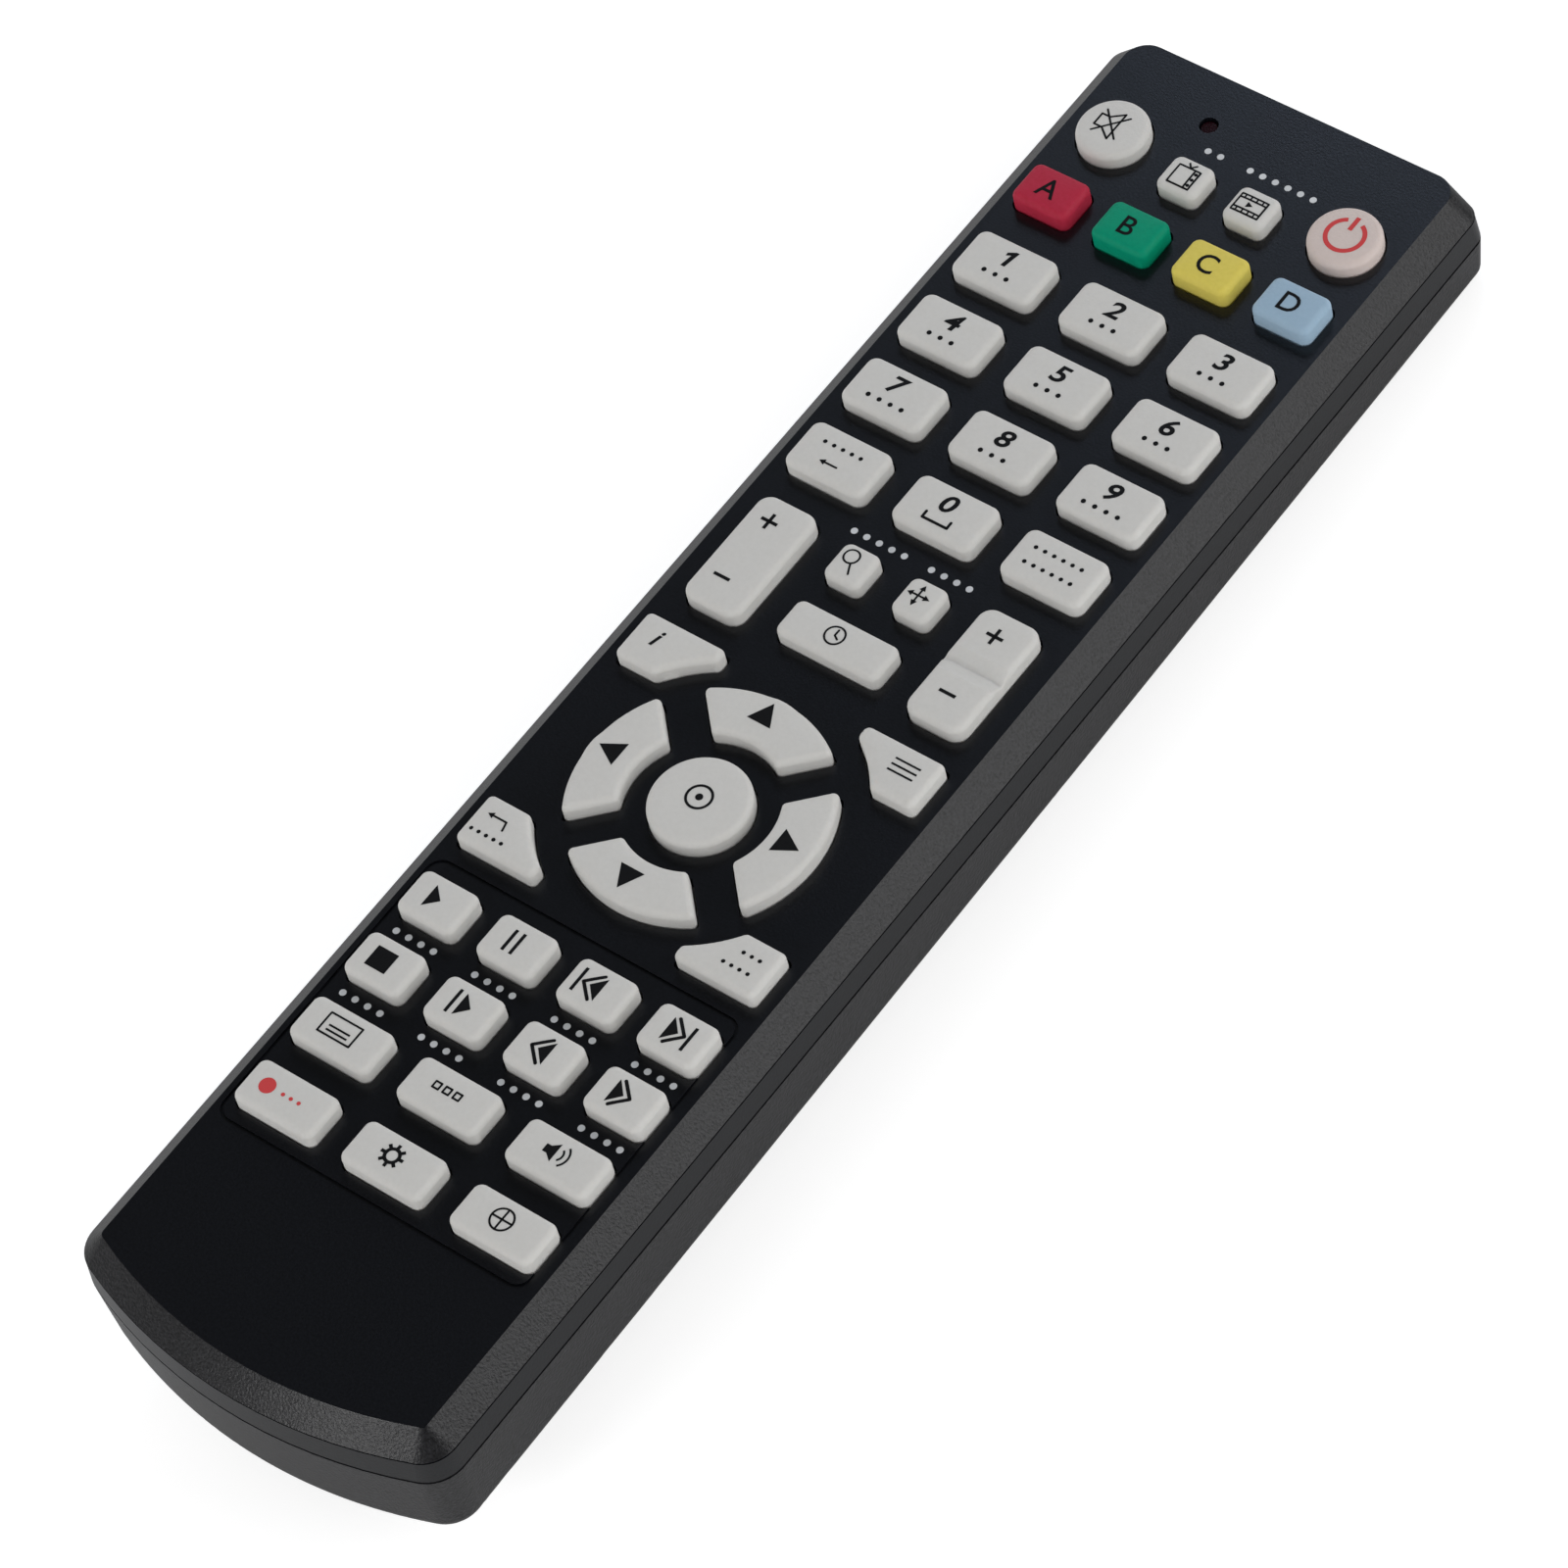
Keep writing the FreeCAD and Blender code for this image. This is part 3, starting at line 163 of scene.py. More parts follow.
def two_tone_case():
    """Black ABS: a fine satin face and side band, and a spark-eroded grain on the bevel."""
    made, tree, shader, place = blank("abs_black_satin_face_grained_bevel")
    axes = add(tree, "SeparateXYZ", {"Vector": place}).outputs

    def over(value, limit):
        return add(tree, "Math", {0: value, 1: limit * MM}, operation="GREATER_THAN").outputs[0]

    def under(value, limit):
        return add(tree, "Math", {0: value, 1: limit * MM}, operation="LESS_THAN").outputs[0]

    def both(one, other):
        return add(tree, "Math", {0: one, 1: other}, operation="MULTIPLY").outputs[0]

    def either(one, other):
        return add(tree, "Math", {0: one, 1: other}, operation="MAXIMUM").outputs[0]

    across = add(tree, "Math", {0: axes["X"]}, operation="ABSOLUTE").outputs[0]
    plan = add(tree, "CombineXYZ", {"X": axes["X"], "Y": axes["Y"]})
    centre = add(tree, "CombineXYZ", {"Y": (NEAR_RADIUS - FACE_NEAR) * MM})
    out = add(tree, "VectorMath", {0: plan.outputs[0], 1: centre.outputs[0]}, operation="DISTANCE")
    past_arc = both(over(out.outputs["Value"], NEAR_RADIUS - HAIR), under(axes["Y"], -60))
    rim = either(either(over(across, FACE_HALF), past_arc), over(axes["Y"], FACE_FAR))
    sloped = both(under(axes["Z"], -HAIR), over(axes["Z"], -BEVEL_DEPTH - HAIR))
    bevel = both(rim, sloped)
    face_tone = mottled(tree, place, GRAIN, colour("05060A"), colour("0D0F14"))
    bevel_tone = mottled(tree, place, GRAIN, colour("0C0C0E"), colour("262629"))
    tone = add(tree, "Mix", {"Factor": bevel, "A": face_tone, "B": bevel_tone}, data_type="RGBA")
    rough = add(tree, "MapRange", {"Value": bevel, "To Min": 0.30, "To Max": 0.36})
    pits = add(tree, "TexNoise", {"Vector": place, "Scale": 1 / (GRAIN * MM), "Detail": 2.0})
    deep = add(tree, "MapRange", {"Value": bevel, "To Min": 0.012 * MM, "To Max": 0.06 * MM})
    relief = add(tree, "Bump", {"Height": pits.outputs["Fac"], "Distance": deep.outputs[0], "Strength": 1.0})
    tree.links.new(tone.outputs["Result"], shader.inputs["Base Color"])
    tree.links.new(rough.outputs[0], shader.inputs["Roughness"])
    tree.links.new(relief.outputs[0], shader.inputs["Normal"])
    shader.inputs["IOR"].default_value = 1.53
    shader.inputs["Specular IOR Level"].default_value = 0.4
    return made


def clear_resin(name, dark, light, rough):
    """Cast tinted epoxy: glossy and see-through, its dye not quite even."""
    made, tree, shader, place = blank(name)
    tone = mottled(tree, place, 1.5, colour(dark), colour(light))
    tree.links.new(tone, shader.inputs["Base Color"])
    shader.inputs["Roughness"].default_value = rough
    shader.inputs["IOR"].default_value = 1.54
    shader.inputs["Transmission Weight"].default_value = 0.6
    return made


def metal(name, tone, rough, grain):
    """Plated sheet or wire, with fine drawing lines along the housing."""
    made, tree, shader, place = blank(name)
    lines = add(tree, "Mapping", {"Vector": place, "Scale": (1.0, 0.08, 1.0)})
    streak = add(tree, "TexNoise", {"Vector": lines.outputs[0], "Scale": 1 / (grain * MM), "Detail": 3.0})
    spread = add(tree, "MapRange", {"Value": streak.outputs["Fac"], "To Min": rough * 0.8,
                                    "To Max": rough * 1.3})
    shader.inputs["Base Color"].default_value = colour(tone)
    shader.inputs["Metallic"].default_value = 1.0
    tree.links.new(spread.outputs[0], shader.inputs["Roughness"])
    tree.links.new(bump(tree, streak.outputs["Fac"], 0.004), shader.inputs["Normal"])
    return made


def ink(name, tone):
    """Screen-printed ink: a thin matte layer with a faintly uneven edge to its gloss."""
    made, tree, shader, place = blank(name)
    patch = add(tree, "TexNoise", {"Vector": place, "Scale": 1 / (0.5 * MM), "Detail": 2.0})
    rough = add(tree, "MapRange", {"Value": patch.outputs["Fac"], "To Min": 0.55, "To Max": 0.7})
    shader.inputs["Base Color"].default_value = colour(tone)
    shader.inputs["Specular IOR Level"].default_value = 0.3
    tree.links.new(rough.outputs[0], shader.inputs["Roughness"])
    return made


GREY = silicone("silicone_warm_grey_moulded", "C4C3C0", "C1C0BD")
PINK_GREY = silicone("silicone_pinkish_grey_moulded", "C7BAB5", "C4B7B2")
RED = silicone("silicone_red_moulded", "A82A41", "A2273C", 0.15)
GREEN = silicone("silicone_green_moulded", "028A6A", "018466", 0.15)
YELLOW = silicone("silicone_yellow_moulded", "CEBF5C", "C9BA58", 0.15)
BLUE = silicone("silicone_light_blue_moulded", "92AABD", "8FA7BA", 0.15)
SHELL = plastic("abs_black_spark_eroded", "0C0C0E", "262629", GRAIN, 0.06, 0.36, 0.4)
CASE = two_tone_case()
MEMBRANE = silicone("silicone_sheet_grey_moulded", "9C9B98", "989794")
BOARD = plastic("phenolic_board_solder_mask", "1E4A2C", "24563A", 1.2, 0.01, 0.35)
CHIPS = plastic("epoxy_black_moulded", "141416", "1C1C1E", GRAIN, 0.01, 0.5)
SLEEVE = plastic("cell_sleeve_printed_film", "17181B", "1D1E22", 2.0, 0.003, 0.25)
NICKEL = metal("steel_nickel_plated_rolled", "B8B6B0", 0.28, 0.2)
ZINC = metal("steel_black_zinc_plated", "55565A", 0.35, 0.2)
LENS = clear_resin("epoxy_blue_tinted_cast", "B0BDE4", "BCC8EA", 0.05)
WINDOW = plastic("polycarbonate_dark_red_moulded", "140406", "1A0608", 3.0, 0.001, 0.08)
LAMP = clear_resin("epoxy_red_tinted_cast", "36121E", "461A28", 0.08)
BLACK_INK = ink("ink_black_screen_printed", "08080A")
RED_INK = ink("ink_red_screen_printed", "C03A3C")
WHITE_INK = ink("ink_white_screen_printed", "C9CCCF")


# Pieces

def finish_piece(obj, material, body):
    """Gives a piece its finish and its body."""
    obj.data.materials.clear()
    obj.data.materials.append(material)
    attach(obj, body)
    return obj


def piece_from(name, bm, smooth_angle):
    """A mesh object at the origin, shaded smooth except over sharp edges."""
    mesh = bpy.data.meshes.new(name)
    bm.to_mesh(mesh)
    bm.free()
    obj = bpy.data.objects.new(name, mesh)
    bpy.context.scene.collection.objects.link(obj)
    mesh.shade_smooth()
    mesh.set_sharp_from_angle(angle=math.radians(smooth_angle))
    return obj


def from_wall(point, wall):
    """Distance in the plan from a point to the key's wall, a list of segments."""
    best = math.inf
    for start, end in wall:
        run = end - start
        share = max(0.0, min(1.0, (point - start).dot(run) / max(run.length_squared, 1e-12)))
        best = min(best, (point - start - run * share).length)
    return best


def slice_at(bm, axis, value, above):
    """Cuts the faces above a height along a line in the plan."""
    spot = Vector()
    spot[axis] = value
    normal = Vector()
    normal[axis] = 1.0
    faces = [face for face in bm.faces if face.calc_center_median().z > above]
    edges = {edge for face in faces for edge in face.edges}
    verts = {vertex for face in faces for vertex in face.verts}
    bmesh.ops.bisect_plane(bm, geom=[*faces, *edges, *verts], plane_co=spot, plane_no=normal, dist=1e-6)


def dice(bm, pitch, above):
    """Cuts the faces above a height along a square grid in the plan."""
    for axis in (0, 1):
        low = min(vertex.co[axis] for vertex in bm.verts)
        high = max(vertex.co[axis] for vertex in bm.verts)
        count = math.ceil((high - low) / pitch)
        for index in range(1, count):
            slice_at(bm, axis, low + (high - low) * index / count, above)


def press_waist(bm, rim):
    """The narrow groove across the channel rocker. It runs out down to the rounded edge's foot."""
    run_out = 0.28 * MM
    for step in range(-8, 9):
        slice_at(bm, 1, (WAIST + step * WAIST_HALF / 4) * MM, rim - 0.3 * MM)
    for vertex in bm.verts:
        off = (vertex.co.y / MM - WAIST) / WAIST_HALF
        share = max(0.0, min(1.0, (vertex.co.z - rim) / run_out))
        vertex.co.z -= WAIST_DEPTH * share * math.exp(-off * off) * MM


def crowned_key(node):
    """A copy of a key's solid whose top falls softly from the middle to the wall."""
    bm = bmesh.new()
    bm.from_mesh(nodes[node].data)
    bmesh.ops.remove_doubles(bm, verts=bm.verts, dist=WELD * MM)
    bmesh.ops.dissolve_limit(bm, angle_limit=math.radians(0.2), verts=bm.verts, edges=bm.edges)
    bmesh.ops.transform(bm, matrix=BACK, verts=bm.verts)
    top = max(vertex.co.z for vertex in bm.verts)
    rim = top - KEY_EDGE * MM
    wall = [tuple(vertex.co.to_2d() for vertex in edge.verts) for edge in bm.edges
            if all(abs(vertex.co.z - rim) < 0.01 * MM for vertex in edge.verts)]
    dice(bm, KEY_DICE * MM, rim)
    if node == "rocker_channel":
        press_waist(bm, rim)
    for vertex in bm.verts:
        if vertex.co.z > rim - 0.01 * MM:
            inside = min(1.0, from_wall(vertex.co.to_2d(), wall) / (CROWN_REACH * MM))
            vertex.co.z -= (KEY_CROWN * (1 - inside) ** 2 + 1.5 * PRINT) * MM
    bmesh.ops.transform(bm, matrix=HOUSING, verts=bm.verts)
    return piece_from(node + "_cap", bm, 35)


def key_finishes():
    """The material and the slot of every key."""
    found = {node: (GREY, "key_grey") for node in nodes if node.startswith(("key_", "rocker_"))}
    found.update(key_power=(PINK_GREY, "key_pink_grey"), key_record=(GREY, "key_pink_grey"),
                 key_red_a=(RED, "key_red"), key_green_b=(GREEN, "key_green"),
                 key_yellow_c=(YELLOW, "key_yellow"), key_blue_d=(BLUE, "key_blue"))
    return found


finishes = key_finishes()
caps = {}
for node, (material, slot) in finishes.items():
    cap = crowned_key(node)
    finish_piece(cap, material, node)
    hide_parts(node)
    caps[node] = BVHTree.FromPolygons([BACK @ vertex.co for vertex in cap.data.vertices],
                                      [tuple(face.vertices) for face in cap.data.polygons])

for node, material in (("upper_case", CASE), ("lower_case", SHELL), ("battery_cover", SHELL),
                       ("keypad_membrane", MEMBRANE), ("circuit_board", BOARD),
                       ("board_components", CHIPS), ("infrared_emitter", LENS),
                       ("infrared_window", WINDOW), ("indicator_lamp", LAMP)):
    nodes[node].data.materials.clear()
    nodes[node].data.materials.append(material)


# Pieces inside the housing, each made in the room of its own solid

def solids(node):
    """The points of each separate solid of a node, from left to right and near to far."""
    bm = bmesh.new()
    bm.from_mesh(nodes[node].data)
    bmesh.ops.remove_doubles(bm, verts=bm.verts, dist=WELD * MM)
    left = set(bm.verts)
    found = []
    while left:
        front = [left.pop()]
        points = []
        while front:
            vertex = front.pop()
            points.append(vertex.co.copy())
            near = {edge.other_vert(vertex) for edge in vertex.link_edges} & left
            left -= near
            front.extend(near)
        found.append(points)
    bm.free()
    return sorted(found, key=lambda points: (round(min(p.x for p in points), 4), min(p.y for p in points)))


def corners(points):
    """The low and the high corner of the box round some points."""
    return (Vector([min(p[axis] for p in points) for axis in range(3)]),
            Vector([max(p[axis] for p in points) for axis in range(3)]))


def width_at(points, y):
    """Half the width of a round solid at one of its ends."""
    xs = [point.x for point in points if abs(point.y - y) < 0.05 * MM]
    return (max(xs) - min(xs)) / 2


def take(bm, mesh):
    """Adds a scratch mesh to bm."""
    bm.from_mesh(mesh)
    bpy.data.meshes.remove(mesh)


def sheet_plate(bm, low, high):
    """A pressed plate with softened edges."""
    made = bmesh.ops.create_cube(bm, size=1.0)["verts"]
    bmesh.ops.scale(bm, vec=high - low, verts=made)
    bmesh.ops.translate(bm, vec=(low + high) / 2, verts=made)
    edges = {edge for vertex in made for edge in vertex.link_edges}
    bmesh.ops.bevel(bm, geom=[*made, *edges], offset=0.12 * MM, segments=2, affect="EDGES")


def coil(bm, points):
    """A spring of round wire in the room of a cone that lies along y."""
    low, high = corners(points)
    wire = 0.3 * MM
    start, end = (width_at(points, y) - wire for y in (low.y, high.y))
    turns = 5
    flat_end = 0.7           # this much of a turn at each end lies flat
    steps = 24 * turns
    curve = bpy.data.curves.new("coil", "CURVE")
    curve.dimensions = "3D"
    curve.bevel_depth = wire
    curve.bevel_resolution = 2
    curve.use_fill_caps = True
    line = curve.splines.new("POLY")
    line.points.add(steps)
    for index, point in enumerate(line.points):
        share = index / steps
        angle = 2 * math.pi * turns * share
        radius = start + (end - start) * share
        run = max(0.0, min(1.0, (share * turns - flat_end) / (turns - 2 * flat_end)))
        y = low.y + wire + (high.y - low.y - 2 * wire) * run
        point.co = ((low.x + high.x) / 2 + radius * math.cos(angle), y,
                    (low.z + high.z) / 2 + radius * math.sin(angle), 1)
    obj = bpy.data.objects.new("coil", curve)
    take(bm, bpy.data.meshes.new_from_object(obj))
    bpy.data.objects.remove(obj)
    bpy.data.curves.remove(curve)


def battery_contacts():
    """Three plates, and a wound spring for each cell."""
    bm = bmesh.new()
    for points in solids("battery_contacts"):
        low, high = corners(points)
        if high.y - low.y > 2 * MM:
            coil(bm, points)
        else:
            sheet_plate(bm, low, high)
    contacts = finish_piece(piece_from("battery_contacts_formed", bm, 40), NICKEL, "housing")
    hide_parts("battery_contacts")


def turned(bm, profile, centre, forward):
    """Spins points (radius, length), in millimetres, about a line along y through centre."""
    line = [bm.verts.new(centre + Vector((radius, length * forward, 0)) * MM) for radius, length in profile]
    edges = [bm.edges.new(pair) for pair in zip(line, line[1:])]
    bmesh.ops.spin(bm, geom=[*line, *edges], cent=centre, axis=(0, 1, 0), angle=2 * math.pi, steps=48,
                   use_merge=True)
    bmesh.ops.remove_doubles(bm, verts=bm.verts, dist=0.001 * MM)


def battery_cells():
    """Two cells: steel ends under a shrunk film sleeve that laps over both shoulders."""
    sleeve = bmesh.new()
    steel = bmesh.new()
    for points in solids("battery_cells"):
        low, high = corners(points)
        radius = (high.x - low.x) / 2 / MM
        forward = 1 if width_at(points, low.y) > width_at(points, high.y) else -1
        centre = (low + high) / 2
        centre.y = low.y if forward > 0 else high.y
        length = (high.y - low.y) / MM
        shoulder = length - 0.8
        turned(sleeve, [(radius - 1.0, 0.12), (radius - 0.35, 0.12), (radius, 0.5), (radius, shoulder - 0.6),
                        (radius - 0.45, shoulder - 0.12), (radius - 1.3, shoulder - 0.12),
                        (radius - 1.3, shoulder - 0.5), (radius - 1.0, 0.4), (radius - 1.0, 0.12)],
               centre, forward)
        turned(steel, [(0, 0), (radius - 1.7, 0), (radius - 1.2, 0.2), (radius - 1.2, shoulder - 0.4),
                       (2.4, shoulder - 0.2), (1.85, shoulder), (1.75, length - 0.15), (1.5, length),
                       (0, length)], centre, forward)
    for bm in (sleeve, steel):
        bmesh.ops.recalc_face_normals(bm, faces=bm.faces)
    film = finish_piece(piece_from("cell_sleeves", sleeve, 30), SLEEVE, "housing")
    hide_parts("battery_cells")
    finish_piece(piece_from("cell_steel", steel, 30), NICKEL, "housing")


def screw(bm, centre, low, high):
    """A pan-head screw with a cross recess; its head is at the low end. Lengths in millimetres."""
    arm, half, sink = 1.15, 0.28, 0.75
    flat = 1.6
    ring = bmesh.ops.create_circle(bm, segments=32, radius=flat)["verts"]
    cross = [(half, arm), (half, half), (arm, half), (arm, -half), (half, -half), (half, -arm),
             (-half, -arm), (-half, -half), (-arm, -half), (-arm, half), (-half, half), (-half, arm)]
    slot = [bm.verts.new((x, y, 0)) for x, y in cross]
    slot_edges = [bm.edges.new(pair) for pair in zip(slot, slot[1:] + slot[:1])]
    ring_edges = list({edge for vertex in ring for edge in vertex.link_edges})
    bmesh.ops.triangle_fill(bm, edges=ring_edges + slot_edges, use_beauty=True)
    wall = bmesh.ops.extrude_edge_only(bm, edges=slot_edges)["geom"]
    deep = [item for item in wall if isinstance(item, bmesh.types.BMVert)]
    bmesh.ops.translate(bm, vec=(0, 0, sink), verts=deep)
    bmesh.ops.contextual_create(bm, geom=[item for item in wall if isinstance(item, bmesh.types.BMEdge)
                                          and all(vertex in deep for vertex in item.verts)])
    tall = high - low
    pitch, root, crest = 0.6, 0.72, 0.89
    side = [(flat, 0), (1.85, 0.12), (1.98, 0.4), (1.98, 1.38), (0.9, 1.38)]
    for index in range(int((tall - 1.9) / pitch)):
        start = 1.5 + index * pitch
        side += [(root, start + pitch / 4), (crest, start + pitch / 2), (crest, start + pitch * 0.6),
                 (root, start + pitch * 0.85)]
    side += [(0.5, tall - 0.1), (0.0, tall)]
    line = [bm.verts.new((radius, 0, z)) for radius, z in side]
    edges = [bm.edges.new(pair) for pair in zip(line, line[1:])]
    bmesh.ops.spin(bm, geom=[*line, *edges], axis=(0, 0, 1), angle=2 * math.pi, steps=32, use_merge=True)
    bmesh.ops.remove_doubles(bm, verts=bm.verts, dist=WELD)
    bmesh.ops.transform(bm, matrix=Matrix.Translation((*centre, low)), verts=bm.verts)


def case_screws():
    """Four screws that close the two shells."""
    whole = bmesh.new()
    for points in solids("case_screws"):
        low, high = corners([BACK @ point for point in points])
        bm = bmesh.new()
        screw(bm, ((low + high) / 2 / MM).to_2d(), low.z / MM, high.z / MM)
        mesh = bpy.data.meshes.new("screw")
        bm.to_mesh(mesh)
        bm.free()
        take(whole, mesh)
    bmesh.ops.recalc_face_normals(whole, faces=whole.faces)
    bmesh.ops.transform(whole, matrix=HOUSING @ Matrix.Scale(MM, 4), verts=whole.verts)
    screws = finish_piece(piece_from("case_screws_turned", whole, 35), ZINC, "housing")
    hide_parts("case_screws")


battery_contacts()
battery_cells()
case_screws()


# Printed marks. A mark is a list of flat shapes about the mark's own centre.

def bar(x, y, width, height, turn=0.0):
    """A rectangle about a point."""
    bm = bmesh.new()
    bmesh.ops.create_grid(bm, x_segments=1, y_segments=1, size=0.5)
    bmesh.ops.scale(bm, vec=(width, height, 1), verts=bm.verts)
    bmesh.ops.rotate(bm, matrix=Matrix.Rotation(math.radians(turn), 3, "Z"), verts=bm.verts)
    bmesh.ops.translate(bm, vec=(x, y, 0), verts=bm.verts)
    return bm


def polygon(*points):
    """A flat face through the points, counter-clockwise."""
    bm = bmesh.new()
    bm.faces.new([bm.verts.new((x, y, 0)) for x, y in points])
    return bm


def triangle(x, y, width, height, turn=0.0):
    """A triangle that points along +x before it is turned."""
    bm = polygon((-width / 2, -height / 2), (width / 2, 0), (-width / 2, height / 2))
    bmesh.ops.rotate(bm, matrix=Matrix.Rotation(math.radians(turn), 3, "Z"), verts=bm.verts)
    bmesh.ops.translate(bm, vec=(x, y, 0), verts=bm.verts)
    return bm


def arc(x, y, radius, width, start=0.0, sweep=360.0):
    """Part of a ring, from the start angle counter-clockwise."""
    bm = bmesh.new()
    turn = math.radians(start)
    ends = [bm.verts.new((math.cos(turn) * r, math.sin(turn) * r, 0))
            for r in (radius - width / 2, radius + width / 2)]
    edge = bm.edges.new(ends)
    bmesh.ops.spin(bm, geom=[*ends, edge], axis=(0, 0, 1), angle=math.radians(sweep),
                   steps=max(6, round(sweep / 9)), use_merge=sweep >= 360)
    bmesh.ops.translate(bm, vec=(x, y, 0), verts=bm.verts)
    return bm


def dot(x, y, radius):
    """A round spot."""
    bm = bmesh.new()
    bmesh.ops.create_circle(bm, cap_ends=True, segments=28, radius=radius)
    bmesh.ops.translate(bm, vec=(x, y, 0), verts=bm.verts)
    return bm


def lettering(text, size, shear=0.0, weight=0.0, wide=1.0):
    """A figure or a letter in the built-in face, as a flat mesh about its centre."""
    curve = bpy.data.curves.new("lettering", "FONT")
    curve.body = text
    curve.size = size
    curve.shear = shear
    curve.offset = weight
    curve.resolution_u = 4
    obj = bpy.data.objects.new("lettering", curve)
    mesh = bpy.data.meshes.new_from_object(obj)
    bm = bmesh.new()
    bm.from_mesh(mesh)
    bpy.data.objects.remove(obj)
    bpy.data.curves.remove(curve)
    bpy.data.meshes.remove(mesh)
    xs = [vertex.co.x for vertex in bm.verts]
    ys = [vertex.co.y for vertex in bm.verts]
    middle = Vector((min(xs) + max(xs), min(ys) + max(ys), 0)) / 2
    bmesh.ops.translate(bm, vec=-middle, verts=bm.verts)
    bmesh.ops.scale(bm, vec=(wide, 1, 1), verts=bm.verts)
    return bm


def strokes(points, width=STROKE, closed=False):
    """Bars along a line through the points, with round joints."""
    made = [dot(x, y, width / 2) for x, y in points]
    ends = list(zip(points, points[1:] + points[:1])) if closed else list(zip(points, points[1:]))
    for (x0, y0), (x1, y1) in ends:
        made.append(bar((x0 + x1) / 2, (y0 + y1) / 2, math.hypot(x1 - x0, y1 - y0), width,
                        math.degrees(math.atan2(y1 - y0, x1 - x0))))
    return made


def frame_of(width, height, x=0.0):
    """The outline of a rectangle, in thin lines."""
    half, tall = width / 2, height / 2
    return strokes([(x - half, -tall), (x + half, -tall), (x + half, tall), (x - half, tall)], closed=True)


def row_of_dots(count, pitch, radius):
    """Round spots side by side, about their middle."""
    return [dot((index - (count - 1) / 2) * pitch, 0, radius) for index in range(count)]


def arrow(x, y, length, turn):
    """A thin arrow from a point."""
    lean = math.radians(turn)
    tip = (x + length * math.cos(lean), y + length * math.sin(lean))
    head = (tip[0] - 0.3 * math.cos(lean), tip[1] - 0.3 * math.sin(lean))
    return [*strokes([(x, y), head]), triangle(head[0], head[1], 0.75, 0.8, turn)]


def joined(shapes):
    """The shapes as one flat sheet that faces up."""
    whole = bmesh.new()
    for shape in shapes:
        flat = bpy.data.meshes.new("flat")
        shape.to_mesh(flat)
        shape.free()
        take(whole, flat)
    bmesh.ops.remove_doubles(whole, verts=whole.verts, dist=0.0005)
    for face in whole.faces:
        if face.normal.z < 0:
            face.normal_flip()
    bmesh.ops.triangulate(whole, faces=whole.faces)
    dice(whole, PRINT_DICE, -1.0)
    return whole


def print_mark(name, shapes, x, y, material, body="housing"):
    """Prints shapes at a place: on the key that carries them, or on the flat face."""
    whole = joined(shapes)
    bmesh.ops.transform(whole, matrix=Matrix.Translation((x * MM, y * MM, 0)) @ Matrix.Scale(MM, 4),
                        verts=whole.verts)
    lower = set(whole.verts)
    bmesh.ops.extrude_face_region(whole, geom=list(whole.faces), use_keep_orig=True)
    bmesh.ops.recalc_face_normals(whole, faces=whole.faces)
    for vertex in whole.verts:
        level = 0.0
        if body in caps:
            hit = caps[body].ray_cast(Vector((vertex.co.x, vertex.co.y, 5 * MM)), Vector((0, 0, -1)))
            level = hit[0].z if hit[0] is not None else 0.0
        vertex.co.z = level + (-PRINT / 2 * MM if vertex in lower else PRINT * MM)
    bmesh.ops.transform(whole, matrix=HOUSING, verts=whole.verts)
    finish_piece(piece_from(name, whole, 30), material, body)


def figure_one():
    """The built-in face's figure 1 has a broken outline when it is bold, so it is drawn."""
    flat = polygon((-0.05, -1.18), (0.5, -1.18), (0.5, 1.18), (0.12, 1.18), (-0.72, 0.66), (-0.6, 0.24),
                   (-0.05, 0.52))
    for vertex in flat.verts:
        vertex.co.x += vertex.co.y * 0.2
    return flat


def digit_marks():
    """Figures with dots or the sign for a space under them, and letters on the coloured keys."""
    places = {mark: divmod(index, 3) for index, mark in enumerate("123456789")}
    places["0"] = (3, 1)
    for mark, (row, column) in places.items():
        x, y = (column - 1) * KEY_PITCH, FIRST_ROW - row * KEY_ROW
        figure = figure_one() if mark == "1" else lettering(mark, 3.3, 0.17, 0.07, 1.2)
        if mark == "0":
            below = strokes([(-1.7, 0.6), (-1.7, -0.25), (1.7, -0.25), (1.7, 0.6)], 0.34)
        else:
            below = row_of_dots(4 if mark in "79" else 3, 1.55, 0.3)
        print_mark("mark_" + mark, [figure], x, y + 0.9, BLACK_INK, "key_" + mark)
        print_mark("below_" + mark, below, x, y - 1.7, BLACK_INK, "key_" + mark)
    last = FIRST_ROW - 3 * KEY_ROW
    print_mark("mark_clear", arrow(1.15, 0, 2.3, 180), -15.3, last - 1.4, BLACK_INK, "key_clear")
    print_mark("above_clear", row_of_dots(5, 1.25, 0.26), -KEY_PITCH, last + 1.0, BLACK_INK, "key_clear")
    print_mark("above_select", row_of_dots(6, 1.25, 0.26), KEY_PITCH, last + 1.0, BLACK_INK, "key_select")
    print_mark("below_select", row_of_dots(6, 1.25, 0.26), KEY_PITCH, last - 1.2, BLACK_INK, "key_select")
    for letter, node, x in (("A", "key_red_a", -16.9), ("B", "key_green_b", -5.7),
                            ("C", "key_yellow_c", 5.3), ("D", "key_blue_d", 16.7)):
        print_mark("mark_" + letter, [lettering(letter, size=3.75, weight=0.03)], x, 73.45, BLACK_INK, node)


